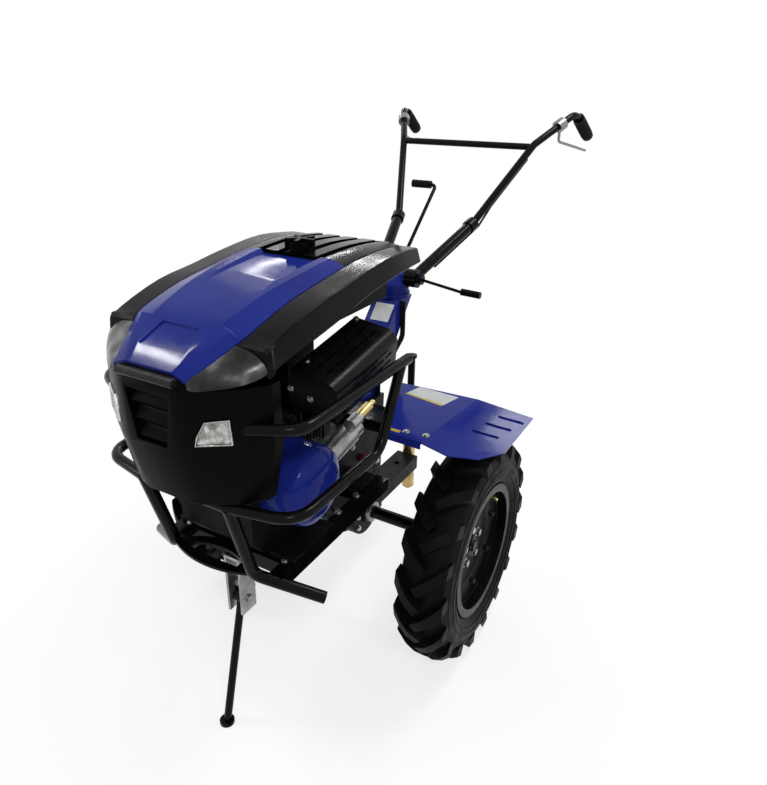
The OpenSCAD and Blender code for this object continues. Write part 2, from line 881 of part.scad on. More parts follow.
// Silencer box inside the shield and its pipe down to the cylinder.
module muffler() {
    inset = shield_t + muffler_gap;
    pipe_path = [[pipe_x, pipe_y, shield_low + shield_h / 2], [pipe_x, pipe_y, barrel_top - pipe_r - fin_t],
        [barrel_x + seat, pipe_y, barrel_top - pipe_r - fin_t]];
    at_axle() color(iron_dark) {
        at_shield() rounded_run(inset, shield_l - 2 * shield_t - 2 * seat);
        tube(pipe_path, pipe_r, pipe_r + fin_t);
    }
}

// Round air filter and its elbow to the engine.
module air_filter() {
    at_axle() color(plastic_black) {
        translate([filter_x, filter_y, filter_low]) rotate_extrude()
            polygon([[0, 0], [filter_r * 0.8, 0], [filter_r, filter_r * 0.2], [filter_r, filter_h * 0.7],
                [filter_r * 0.92, filter_h * 0.74], [filter_r * 0.92, filter_h * 0.9], [filter_r * 0.7, filter_h],
                [0, filter_h]]);
        rod([filter_x, filter_y, filter_low + filter_pipe_r + seat],
            [-filter_pipe_r * 2, filter_y, filter_low + filter_pipe_r + seat], filter_pipe_r);
        translate([-filter_pipe_r * 2, filter_y, block_top]) cylinder(r = filter_pipe_r, h = filter_pipe_r * 2);
    }
}

// Cover over the drive belt, with the bosses that carry it on the engine and the gear case.
module belt_guard() {
    run = norm([belt_back_y + crank_ahead, belt_back_up - crank_up]);
    lean = atan2(belt_back_up - crank_up, belt_back_y + crank_ahead);
    spread = asin((belt_back_r - belt_front_r) / run);
    front_r = belt_front_r - seat;
    back_r = belt_back_r - seat;
    at_axle() color(plastic_black) {
        side_slab(-belt_in - belt_w, -belt_in) translate([-crank_ahead, crank_up]) rotate(lean) union() {
            circle(r = belt_front_r, $fn = 72);
            translate([run, 0]) circle(r = belt_back_r, $fn = 72);
            polygon([[-front_r * sin(spread), front_r * cos(spread)], [-front_r * sin(spread), -front_r * cos(spread)],
                [run - back_r * sin(spread), -back_r * cos(spread)], [run - back_r * sin(spread), back_r * cos(spread)]]);
        }
        cross_rod(-belt_in - seat, -block_right, -crank_ahead, crank_up, belt_boss_r);
        cross_rod(-belt_in - seat, -case_w / 2, belt_back_y, belt_back_up, belt_boss_r);
    }
}

// Fuel tank under the hood, on a saddle over the cylinder, with its filler neck.
module fuel_tank() {
    at_axle() color(plastic_black) {
        box([-tank_right, tank_front, tank_low], [tank_left, tank_back, tank_top]);
        box([-tank_saddle_w / 2, barrel_y, barrel_top], [tank_saddle_w / 2, head_y, tank_low + seat]);
        translate([0, cap_y, tank_top - seat]) cylinder(r = neck_r, h = cap_low - tank_top);
    }
}

function cowl_point(s, grow) = [s[0] * (cowl_w / 2 + grow), cowl_rear + grow - s[1] * (cowl_l + 2 * grow)];
function cowl_outline(grow) = concat([for (s = cowl_shares) cowl_point(s, grow)],
    [for (s = reversed(cowl_shares)) let (p = cowl_point(s, grow)) [-p[0], p[1]]]);

module cowl_block(grow) {
    translate([0, 0, cowl_low]) linear_extrude(cowl_top - cowl_low) polygon(cowl_outline(grow));
}

// Lamp outline set on the slanting face beside the grille.
module lamp_block(grow, depth) {
    a = cowl_point(cowl_shares[3], 0);
    b = cowl_point(cowl_shares[2], 0);
    aim = atan2(b[1] - a[1], b[0] - a[0]);
    inset = (norm(b - a) - lamp_w) / 2;
    translate([a[0], a[1], lamp_low]) rotate([0, 0, aim]) translate([inset, depth, 0]) rotate([90, 0, 0])
        linear_extrude(depth + lamp_proud + grow)
        polygon([for (s = lamp_shares) [s[0] * (lamp_w + 2 * grow) - grow, s[1] * (lamp_h + 2 * grow) - grow]]);
}

// Outline of the cowl at a height, drawn in at its front and sides.
function cowl_ring(inset, z) = let (half = [for (s = cowl_shares)
    [s[0] * (cowl_w / 2 - inset), cowl_rear - s[1] * (cowl_l - inset), z]]) concat(half, reversed(mirrored(half)));

// Pocket of the grille, narrower below.
module grille_pocket() {
    translate([0, cowl_front + grille_d, 0]) rotate([90, 0, 0]) linear_extrude(grille_d + cut)
        polygon([[-grille_top_w / 2, grille_top], [grille_top_w / 2, grille_top], [grille_w / 2, grille_low],
            [-grille_w / 2, grille_low]]);
}

// Blades that slope down and out of the pocket's back.
module grille_blades() {
    back = cowl_front + grille_d;
    for (i = [0:blade_count - 1]) {
        z = grille_top - blade_drop_first - i * blade_pitch;
        half = mix(grille_top_w, grille_w, (grille_top - z) / grille_h) / 2 - blade_gap;
        side_slab(-half, half) polygon([[back + seat, z], [back - blade_d, z], [back + seat, z + blade_h]]);
    }
}

// Black nose cowl with its chin, grille and lamp pockets.
module front_cowl() {
    at_axle() color(plastic_black) {
        difference() {
            loft([cowl_ring(chin_in, cowl_low), cowl_ring(0, chin_up), cowl_ring(0, cowl_top)]);
            grille_pocket();
            both_sides() lamp_block(seat, lamp_d);
        }
        grille_blades();
    }
}

// Rounded grey strip between the cowl and the hood's nose.
module nose_strip() {
    at_axle() color(brow_grey)
        cross_rod(-strip_w / 2, strip_w / 2, cowl_front + strip_r - strip_t, cowl_top + strip_r + seat, strip_r);
}

module lamps() {
    at_axle() color(lens_clear) both_sides() lamp_block(0, lamp_d - seat);
}

// Stations of the hood with smooth steps put in between the tabled ones.
function spline(a, b, c, d, t) = b + (c - a) * t / 2 + (2 * a - 5 * b + 4 * c - d) * t * t / 2
    + (3 * b - 3 * c + d - a) * t * t * t / 2;
function hood_row(i, t) = spline(hood_shares[max(i - 1, 0)], hood_shares[i], hood_shares[i + 1],
    hood_shares[min(i + 2, len(hood_shares) - 1)], t);
hood_rows = concat([for (i = [0:len(hood_shares) - 2], k = [0:hood_steps - 1]) hood_row(i, k / hood_steps)],
    [hood_shares[len(hood_shares) - 1]]);

// A station as lengths: place along the hood and pairs of half width and height.
function hood_y(row) = nose_y + row[0] * hood_l;
function hood_at(row, k) = [row[k] * hood_w / 2, hood_up + row[k + 1] * hood_h];
function lift(p, y) = [p[0], y, p[1]];
function ramp(s, from, to) = min(max((s - from) / (to - from), 0), 1);

// Half of the blue panel's top from its middle out: scoop, raised rail, fold and edge.
function panel_half(row) = let (f = hood_at(row, 1), e = hood_at(row, 3), w = f[0] * scoop_share,
    sunk = scoop_d * ramp(row[0], scoop_shares[0], scoop_shares[1]),
    step = row[0] < notch_share ? ramp(row[0], 0, notch_share) : 0)
    [[w * scoop_floor_share, f[1] - sunk], [w, f[1]], f, mix(f, e, fold_share) + [notch_out, notch_rise] * step, e];
function flip(p) = [-p[0], p[1]];
function panel_loop(row) = let (half = panel_half(row), under = [for (p = half) p - [0, panel_t]])
    [for (p = concat([for (q = reversed(under)) flip(q)], under, reversed(half), [for (q = half) flip(q)]))
        lift(p, hood_y(row))];
function recess_loop(row) = let (z = hood_at(row, 1)[1], w = mix(recess_w, recess_top_w,
    ramp(row[0], recess_shares[0], recess_shares[1])) / 2)
    [for (p = [[-w, z - recess_d], [w, z - recess_d], [w, z + cut], [-w, z + cut]]) lift(p, hood_y(row))];

// Blue centre panel of the hood with the sunken field on its nose.
module hood_panel() {
    at_axle() color(paint_blue) difference() {
        loft([for (i = [0:hood_split * hood_steps]) panel_loop(hood_rows[i])]);
        loft([for (row = hood_rows) if (row[0] > recess_shares[0] && row[0] < recess_shares[1]) recess_loop(row)]);
    }
}

// Groove i of the rear panel as four points across it, from the machine's left to its right.
function groove(i, f) = let (pitch = 2 * f[0] / groove_count, x = f[0] - (i + 0.5) * pitch,
    w = pitch * groove_share / 2) [[x + w, f[1]], [x + w, f[1] - groove_d], [x - w, f[1] - groove_d],
    [x - w, f[1]]];
function rear_loop(row, y) = let (f = hood_at(row, 1), e = hood_at(row, 3)) [for (p = concat([[-e[0], e[1] - rear_t],
    [e[0], e[1] - rear_t], e, f], [for (g = [0:groove_count - 1]) each groove(g, f)], [[-f[0], f[1]],
    [-e[0], e[1]]])) lift(p, y)];

// Black rear panel with grooves along it.
module hood_rear() {
    first = hood_split * hood_steps;
    at_axle() color(plastic_black) difference() {
        loft([for (i = [first:len(hood_rows) - 1])
            rear_loop(hood_rows[i], hood_y(hood_rows[i]) + (i == first ? seat : 0))]);
        translate([0, cap_y, tank_top]) cylinder(r = neck_r + seat, h = hood_h);
    }
}

function shell_loop(row, y) = let (e = hood_at(row, 3), out = row[0] < ring_share ? ring_out : 0,
    r = hood_at(row, 5) + [out, out], l = hood_at(row, 7) + [out, 0])
    [for (p = [[e[0] + seat, l[1]], l, r, [e[0] + seat, e[1]]]) lift(p, y)];

// Black side shells of the hood, each with a ridge along it and a raised ring behind the brow.
module hood_shells() {
    first = shell_first * hood_steps;
    at_axle() color(plastic_black) both_sides()
        loft([for (i = [first:len(hood_rows) - 1])
            shell_loop(hood_rows[i], hood_y(hood_rows[i]) + (i == first ? seat : 0))]);
}

// Quarter of an ellipse from the panel's edge down to the brow's outer edge.
function brow_loop(row) = let (t = row[0] / hood_shares[shell_first][0], e = hood_at(row, 3), inner = e[0] + seat,
    w = brow_in + brow_out * sin(90 * t), low = cowl_top + brow_lift * t * t, h = e[1] - low)
    [for (p = concat([[inner, low]], [for (k = [brow_steps:-1:0]) let (a = 90 * k / brow_steps)
        [inner + w * sin(a), low + h * cos(a)]])) lift(p, hood_y(row))];

// Grey brows over the lamps.
module brows() {
    at_axle() color(brow_grey) both_sides()
        loft([for (i = [0:shell_first * hood_steps]) brow_loop(hood_rows[i])]);
}

// Star-shaped filler cap on the rear panel.
module fuel_cap() {
    at_axle() color(plastic_black) translate([0, cap_y, cap_low]) {
        cylinder(r = cap_r, h = cap_h);
        for (i = [0:wing_count - 1]) rotate(360 / wing_count * i)
            box([0, -wing_t / 2, 0], [wing_r, wing_t / 2, wing_h]);
    }
}

// Bar across the gear case that carries both fenders.
module fender_beam() {
    at_axle() color(tube_black) box([-beam_half, -beam_front, case_top], [beam_half, -beam_front + beam_l, deck_under]);
}

module fender_deck() {
    translate([0, -fender_front, deck_under]) linear_extrude(fender_t)
        polygon([for (s = deck_shares) [s[0] * fold_x, s[1] * fender_l]]);
}

// Fender on the machine's left: flat deck, sloping wing with ribs, lip along the front.
module fender() {
    f0 = [deck_shares[1][0] * fold_x, -fender_front];
    f1 = [deck_shares[2][0] * fold_x, -fender_front + fender_l];
    d0 = [deck_shares[0][0] * fold_x, -fender_front + deck_shares[0][1] * fender_l];
    fold_l = norm(f1 - f0);
    fold_aim = atan2(f1[1] - f0[1], f1[0] - f0[0]);
    lip_l = norm(f0 - d0);
    fender_deck();
    translate([d0[0], d0[1], deck_under - lip_h]) rotate(atan2(f0[1] - d0[1], f0[0] - d0[0]))
        cube([lip_l, fender_t, lip_h + fender_t]);
    translate([f0[0], f0[1], fender_up]) rotate([0, 0, fold_aim]) rotate([wing_slope, 0, 0]) mirror([0, 1, 0])
        translate([0, 0, -fender_t]) {
        linear_extrude(fender_t) polygon([for (s = wing_shares) [s[0] * fold_l, s[1] * wing_w]]);
        for (i = [0:rib_count - 1])
            translate([fold_l * (0.55 + 0.2 * i), wing_w * (0.36 + 0.05 * i), fender_t - seat])
            rotate(62) cube([wing_w * rib_share, rib_w, rib_h]);
    }
}

module fender_left() {
    at_axle() color(paint_blue) fender();
}

module fender_right() {
    at_axle() color(paint_blue) mirror([1, 0, 0]) fender();
}

// Blue column leaning back from the gear case, with the swivel's flange and pin on top.
module column() {
    at_axle() color(paint_blue) {
        side_slab(-column_w / 2, column_w / 2) polygon([for (s = column_shares)
            [s[0] * swivel_back, mix(case_top, column_up - column_flange_t, s[1])]]);
        translate([0, swivel_back, column_up - column_flange_t]) cylinder(r = column_flange_r, h = column_flange_t);
        translate([0, swivel_back, column_up - seat]) cylinder(r = swivel_r, h = swivel_l + seat);
    }
}

// Turning head with the cross tube and pins that carry the handlebar's arms.
module swivel_head() {
    at_axle() color(paint_blue) difference() {
        union() {
            difference() {
                union() {
                    translate([0, swivel_back, column_up + seat]) cylinder(r = head_r, h = head_h);
                    translate([0, swivel_back, column_up + head_h])
                        cylinder(r1 = head_r, r2 = head_r * head_share, h = head_h);
                }
                both_sides() cross_rod(tilt_half, head_r + cut, tilt_y, tilt_up, arm_eye_r + head_gap);
            }
            cross_rod(-tilt_half, tilt_half, tilt_y, tilt_up, tilt_tube_r);
            cross_rod(-tilt_pin_out, tilt_pin_out, tilt_y, tilt_up, tilt_pin_r);
        }
        translate([0, swivel_back, column_up - cut])
            cylinder(r = swivel_r + running, h = swivel_l + seat + cut);
    }
}

// Nuts on the tilt pin, and on the left the clamp's handle.
module clamp_lever() {
    grip_x = tilt_pin_out + nut_t + clamp_rod_l;
    at_axle() color(plastic_black) {
        cross_rod(tilt_pin_out, tilt_pin_out + nut_t, tilt_y, tilt_up, nut_r);
        rod([tilt_pin_out, tilt_y, tilt_up], [grip_x, tilt_y, tilt_up - clamp_drop], clamp_rod_r);
        rod([grip_x - clamp_grip_l * 0.1, tilt_y, tilt_up - clamp_drop * 0.9],
            [grip_x + clamp_grip_l, tilt_y, tilt_up - clamp_drop], clamp_grip_r);
    }
}

module gear_lever() {
    side = lever_head - [lever_side, 0, 0];
    at_axle() color(plastic_black) difference() {
        union() {
            tube([lever_foot, lever_head, side], lever_r, lever_bend);
            rod(side + [lever_grip_l, 0, 0], side, lever_grip_r);
        }
        cross_rod(-tilt_half, tilt_half, tilt_y, tilt_up, tilt_tube_r + seat);
        translate([0, swivel_back, column_up]) cylinder(r1 = head_r * 1.4 + seat, r2 = head_r * head_share + seat,
            h = head_h * 2 + seat);
    }
}

// Lower arms: an eye on the tilt pin, a thick sleeve and its collar.
module arms() {
    d = unit(arm_top - arm_foot);
    at_axle() color(tube_black) both_sides() difference() {
        union() {
            cross_rod(tilt_half + seat, tilt_half + seat + arm_eye_l, tilt_y, tilt_up, arm_eye_r);
            rod(arm_foot, arm_top, arm_d / 2);
            rod(arm_top - d * collar_l, arm_top, collar_r);
        }
        cross_rod(0, tilt_half * 3, tilt_y, tilt_up, tilt_pin_r + running);
        cross_rod(0, tilt_half + seat, tilt_y, tilt_up, tilt_tube_r * 2);
        cross_rod(tilt_pin_out - cut, tilt_pin_out * 2, tilt_y, tilt_up, nut_r + seat);
        tube(bar_path, bar_d / 2 + seat, bar_bend_r);
    }
}

// Upper tubes from the arms to the ends under the grips.
module bars() {
    at_axle() color(tube_black) both_sides() tube(bar_path, bar_d / 2, bar_bend_r);
}

module crossbar() {
    p = mix(arm_top, bar_knee, cross_share);
    at_axle() color(tube_black) difference() {
        rod(p, mirror_x(p), bar_d / 2 * 0.9);
        both_sides() tube(bar_path, bar_d / 2 + seat, bar_bend_r);
    }
}

module grips() {
    d = unit(bar_tail - bar_bend);
    at_axle() color(rubber_black) both_sides() difference() {
        rod(bar_tail - d * grip_l, bar_tail + d * sleeve_wall, grip_r);
        rod(bar_tail - d * (grip_l + cut), bar_tail + d * seat, bar_d / 2 + seat);
    }
}

// Hand levers: a clamp ring on each tube and a blade under the grip.
module hand_levers() {
    d = heading(bar_path, 1);
    ring = mix(bar_knee, bar_bend, 0.62);
    low = ring - [0, 0, blade_drop];
    at_axle() color(metal_silver) both_sides() difference() {
        union() {
            rod(ring - d * lever_ring_l / 2, ring + d * lever_ring_l / 2, lever_ring_r);
            tube([ring, low, bar_tail - [0, 0, blade_drop]], blade_r, blade_r * 3);
        }
        tube(bar_path, bar_d / 2 + seat, bar_bend_r);
    }
}

// Control cables clipped under the tubes, from the hand levers down to the arms' feet.
module bar_cables() {
    under_bar = under(bar_knee - arm_top, bar_d / 2 + cable_r + seat);
    under_arm = under(arm_top - arm_foot, collar_r + cable_r + seat);
    past_collar = arm_top + unit(arm_top - arm_foot) * collar_l + under_arm;
    at_axle() color(rubber_black) both_sides()
        tube([mix(arm_foot, arm_top, 0.35) + under_arm, past_collar, mix(arm_top, bar_knee, 0.3) + under_bar,
            mix(arm_top, bar_knee, 0.9) + under_bar], cable_r, cable_r * 4);
}

// Two control cables from under the swivel's flange down the column's side to the gear case.
module column_cables() {
    y = column_cable_y;
    foot_y = column_cable_foot_y;
    top = column_up - column_flange_t - column_cable_r;
    at_axle() color(rubber_black) for (i = [0:1]) {
        x = column_w / 2 + (2 * i + 1) * (column_cable_r + seat);
        tube([[x, y, top], [x, y, top - column_cable_run], [x, foot_y, case_top + column_cable_foot],
            [x, foot_y, case_top + seat]], column_cable_r, column_cable_bend);
    }
}

// Drawbar behind the gear case with the hitch pin's hole and the seat of the stake's sleeve.
module hitch_bracket() {
    reach = stake_back - sleeve_r * 0.4;
    at_axle() color(iron_dark) difference() {
        union() {
            box([-tail_w / 2, tail_y, -hitch_plate_h / 2], [tail_w / 2, tail_y + hitch_plate_t, hitch_plate_h / 2]);
            box([-hitch_w / 2, tail_y, -hitch_drop - hitch_bar_h / 2], [hitch_w / 2, reach, -hitch_drop + hitch_bar_h / 2]);
        }
        translate([0, stake_back, -axle_z]) cylinder(r = sleeve_r + seat, h = axle_z * 2);
        translate([0, stake_back - sleeve_r - hitch_pin_back, -axle_z]) cylinder(r = hitch_pin_r, h = axle_z * 2);
    }
}

module hitch_sleeve() {
    at_axle() color(metal_brass) difference() {
        translate([0, stake_back, sleeve_low]) cylinder(r = sleeve_r, h = sleeve_top - sleeve_low);
        translate([0, stake_back, sleeve_low - cut])
            cylinder(r = stake_d / 2 + running, h = sleeve_top - sleeve_low + 2 * cut);
    }
}

module drag_stake() {
    at_axle() color(tube_black) translate([0, stake_back, 0]) {
        translate([0, 0, stake_low]) cylinder(r = stake_d / 2, h = stake_top - stake_low);
        translate([0, 0, stake_top - stake_cap_t]) cylinder(r = stake_cap_r, h = stake_cap_t);
    }
}

// Tyre round X at the origin: a revolved casing with chevron lugs.
module tyre_casing() {
    half = concat([[rim_half, bead_r], [rim_half, bead_r + rim_lip]],
        [for (s = tyre_shares) [s[0] * tyre_w / 2, mix(bead_r, casing_r, s[1])]]);
    rotate([0, 90, 0]) rotate_extrude($fn = 96)
        polygon(concat([for (p = half) [p[1], p[0]]], [for (p = reversed(half)) if (p[0] > 0) [p[1], -p[0]]]));
}

module lug(side) {
    reach = tyre_w / 2 / cos(lug_angle) + lug_t;
    translate([0, 0, casing_r - lug_root]) rotate(side * lug_angle)
        box([side > 0 ? -lug_t / 4 : -reach, -lug_t / 2, 0], [side > 0 ? reach : lug_t / 4, lug_t / 2, lug_h * 2]);
}

module tyre(side) {
    reach = tyre_w / 2 * lug_reach_share;
    color(rubber_black) union() {
        tyre_casing();
        intersection() {
            for (i = [0:lug_pairs - 1], s = [-1, 1])
                rotate([360 / lug_pairs * (i + (s > 0 ? 0 : 0.5)), 0, 0]) lug(s);
            rotate([0, 90, 0]) rotate_extrude($fn = 96)
                polygon(concat([for (s = lug_shares) [s[1] * tyre_d / 2, -s[0] * reach]],
                    [for (s = reversed(lug_shares)) [s[1] * tyre_d / 2, s[0] * reach]]));
        }
    }
}

// Rim round X: barrel, edges and a dished disc, open at the hub.
module rim() {
    seat_r = rim_d / 2;
    in_r = seat_r - rim_wall;
    color(iron_dark) rotate([0, 90, 0]) rotate_extrude($fn = 96) {
        polygon([[in_r, -rim_half - rim_edge], [seat_r + rim_lip, -rim_half - rim_edge], [seat_r + rim_lip, -rim_half - seat],
            [seat_r, -rim_half - seat], [seat_r, rim_half + seat], [seat_r + rim_lip, rim_half + seat],
            [seat_r + rim_lip, rim_half + rim_edge], [in_r, rim_half + rim_edge]]);
        translate([0, disc_x - track / 2]) polygon([[hub_r + seat, 0], [disc_flat_r, 0], [in_r + seat, disc_dish],
            [in_r + seat, disc_dish + disc_t], [disc_flat_r - disc_t / 4, disc_t], [hub_r + seat, disc_t]]);
    }
}

// Half shaft with the hub flange behind the rim's disc and the cap in its middle.
module half_shaft() {
    color(tube_black) {
        cross_rod(shaft_in, disc_x, 0, 0, shaft_d / 2);
        cross_rod(disc_x - hub_l, disc_x, 0, 0, hub_r);
        cross_rod(disc_x - hub_flange_t, disc_x, 0, 0, hub_flange_r);
        cross_rod(disc_x - seat, disc_x + hub_cap_l, 0, 0, hub_r);
    }
}

module tyre_left() {
    at_axle() translate([track / 2, 0, 0]) tyre(1);
}

module tyre_right() {
    at_axle() translate([-track / 2, 0, 0]) mirror([1, 0, 0]) tyre(1);
}

module rim_left() {
    at_axle() translate([track / 2, 0, 0]) rim();
}

module rim_right() {
    at_axle() mirror([1, 0, 0]) translate([track / 2, 0, 0]) rim();
}

module half_shaft_left() {
    at_axle() half_shaft();
}

module half_shaft_right() {
    at_axle() mirror([1, 0, 0]) half_shaft();
}

gearbox();
axle_flanges();
frame_rails();
bumper_tubes();
bumper_plate();
stand_bracket();
guard_front();
guard_sides();
guard_uppers();
engine_block();
finned_cylinder();
flywheel_shroud();
starter_motor();
solenoid();
muffler();
muffler_shield();
air_filter();
belt_guard();
fuel_tank();
front_cowl();
nose_strip();
lamps();
brows();
hood_panel();
hood_rear();
hood_shells();
fuel_cap();
fender_beam();
fender_left();
fender_right();
column();
hitch_bracket();
hitch_sleeve();
drag_stake();
stand_leg();
tyre_left();
tyre_right();
rim_left();
rim_right();
half_shaft_left();
half_shaft_right();
swivel_head();
clamp_lever();
gear_lever();
arms();
bars();
crossbar();
grips();
hand_levers();
bar_cables();
column_cables();
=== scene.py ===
import bpy, bmesh, math
from mathutils import Matrix, Vector
from mathutils.bvhtree import BVHTree


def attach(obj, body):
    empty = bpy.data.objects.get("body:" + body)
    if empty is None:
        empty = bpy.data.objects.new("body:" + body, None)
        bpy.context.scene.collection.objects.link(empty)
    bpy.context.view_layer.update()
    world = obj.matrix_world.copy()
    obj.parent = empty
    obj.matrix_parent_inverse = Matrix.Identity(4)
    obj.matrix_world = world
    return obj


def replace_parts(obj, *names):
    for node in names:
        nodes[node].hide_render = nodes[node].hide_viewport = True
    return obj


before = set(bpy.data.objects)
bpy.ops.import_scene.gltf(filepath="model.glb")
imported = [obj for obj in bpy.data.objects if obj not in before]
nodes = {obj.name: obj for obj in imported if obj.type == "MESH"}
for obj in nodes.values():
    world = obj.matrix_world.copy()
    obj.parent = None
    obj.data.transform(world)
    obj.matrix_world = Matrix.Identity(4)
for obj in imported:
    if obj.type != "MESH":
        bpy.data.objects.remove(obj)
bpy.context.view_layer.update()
scene = bpy.context.scene
print("frame loaded:", len(nodes), "nodes")

# camera, fitted to mirrored points of the machine: metres, degrees and pixels
photoCam = {"place": (0.85197, -1.49067, 1.36057), "yaw": 29.96, "pitch": 23.427, "roll": 0.556,
            "focalPx": 678.45, "middlePx": (374.16, 378.60), "imagePx": (767, 785),
            "sensorMm": 36.0, "clipStart": 0.05}

def aimCamera(cfg):
    a, p, q = (math.radians(cfg[k]) for k in ("yaw", "pitch", "roll"))
    right = Vector((math.cos(a), math.sin(a), 0))
    ahead = Vector((-math.sin(a) * math.cos(p), math.cos(a) * math.cos(p), -math.sin(p)))
    up = right.cross(ahead)
    side = right * math.cos(q) + up * math.sin(q)
    top = up * math.cos(q) - right * math.sin(q)
    data = bpy.data.cameras.new("photoCamera")
    cam = bpy.data.objects.new("photoCamera", data)
    scene.collection.objects.link(cam)
    turn = Matrix((side, top, -ahead)).transposed().to_4x4()
    cam.matrix_world = Matrix.Translation(Vector(cfg["place"])) @ turn
    w, h = cfg["imagePx"]
    data.sensor_fit = "HORIZONTAL"
    data.sensor_width = cfg["sensorMm"]
    data.lens = cfg["focalPx"] / w * cfg["sensorMm"]
    data.shift_x = (w / 2 - cfg["middlePx"][0]) / w
    data.shift_y = (cfg["middlePx"][1] - h / 2) / w
    data.clip_start = cfg["clipStart"]
    scene.camera = cam

aimCamera(photoCam)
scene.view_settings.view_transform = "Standard"

# studio: white surroundings, softboxes for the form, ceiling tubes for the paint's highlights
studio = {"worldFill": 0.34, "white": 1.0, "floorHalf": 9.0, "floorDrop": 0.0005, "floorShade": 0.40,
          "floorGlow": 0.72, "floorBounce": 0.7, "fadeFrom": 0.5, "fadeTo": 1.45}
softboxes = {
    "keySoftbox": {"watts": 26, "size": (0.95, 0.5),
                   "place": (1.9, -2.3, 2.9), "target": (0, -0.2, 0.6)},
    "overheadSoftbox": {"watts": 19, "size": (0.8, 0.5),
                        "place": (0.95, 0.80, 2.75), "target": (0.2, -0.2, 0.65)},
    "leftFillSoftbox": {"watts": 11, "size": (0.5, 1.2),
                        "place": (-2.7, -1.9, 1.7), "target": (0, -0.2, 0.6)},
    "wingSoftbox": {"watts": 4.5, "size": (0.34, 0.36),
                    "place": (0.54, 2.35, 2.24), "target": (0.3, -0.1, 0.65)},
}
# tubes by their two ends, hung where the hood mirrors them towards the camera
tubeShape = {"wide": 0.05, "aim": (0, -0.5, 0.95)}
tubes = {
    "noseTube": {"ends": ((-1.69, -0.75, 2.41), (-1.25, -0.80, 2.72)), "watts": 7.0},
    "rearTube": {"ends": ((-2.09, 1.44, 2.43), (-1.90, 2.00, 1.99)), "watts": 2.2},
    "shellTube": {"ends": ((-1.50, 1.95, 2.36), (-1.16, 2.12, 2.12)), "watts": 6.0},
}

# 1 where the camera, a mirror or glass looks, so these see plain white
def whiteRays(tree):
    path = tree.nodes.new("ShaderNodeLightPath")
    most = path.outputs["Is Camera Ray"]
    for name in ("Is Glossy Ray", "Is Transmission Ray"):
        n = tree.nodes.new("ShaderNodeMath")
        n.operation = "MAXIMUM"
        tree.links.new(most, n.inputs[0])
        tree.links.new(path.outputs[name], n.inputs[1])
        most = n.outputs[0]
    return most

def makeWorld(cfg):
    world = bpy.data.worlds.new("studioWorld")
    scene.world = world
    world.use_nodes = True
    tree = world.node_tree
    tree.nodes.clear()
    new, link = tree.nodes.new, tree.links.new
    mix = new("ShaderNodeMixShader")
    link(whiteRays(tree), mix.inputs[0])
    for slot, strength in ((1, cfg["worldFill"]), (2, cfg["white"])):
        light = new("ShaderNodeBackground")
        light.inputs["Color"].default_value = (1, 1, 1, 1)
        light.inputs["Strength"].default_value = strength
        link(light.outputs[0], mix.inputs[slot])
    link(mix.outputs[0], new("ShaderNodeOutputWorld").inputs["Surface"])

def hangLight(name, size, watts, place, turn):
    data = bpy.data.lights.new(name, "AREA")
    data.shape = "RECTANGLE"
    data.size, data.size_y = size
    data.energy = watts
    lamp = bpy.data.objects.new(name, data)
    scene.collection.objects.link(lamp)
    lamp.matrix_world = Matrix.Translation(place) @ turn.to_4x4()

def hangSoftbox(name, cfg):
    place = Vector(cfg["place"])
    turn = (Vector(cfg["target"]) - place).to_track_quat("-Z", "Y").to_matrix()
    hangLight(name, cfg["size"], cfg["watts"], place, turn)

def hangTube(name, cfg, shape):
    a, b = (Vector(end) for end in cfg["ends"])
    place = (a + b) / 2
    along = (b - a).normalized()
    back = place - Vector(shape["aim"])
    back = (back - along * back.dot(along)).normalized()
    turn = Matrix((along.cross(back), along, back)).transposed()
    hangLight(name, (shape["wide"], (b - a).length), cfg["watts"], place, turn)

makeWorld(studio)
for name, cfg in softboxes.items():
    hangSoftbox(name, cfg)
for name, cfg in tubes.items():
    hangTube(name, cfg, tubeShape)
print("lights hung:", len(softboxes) + len(tubes))

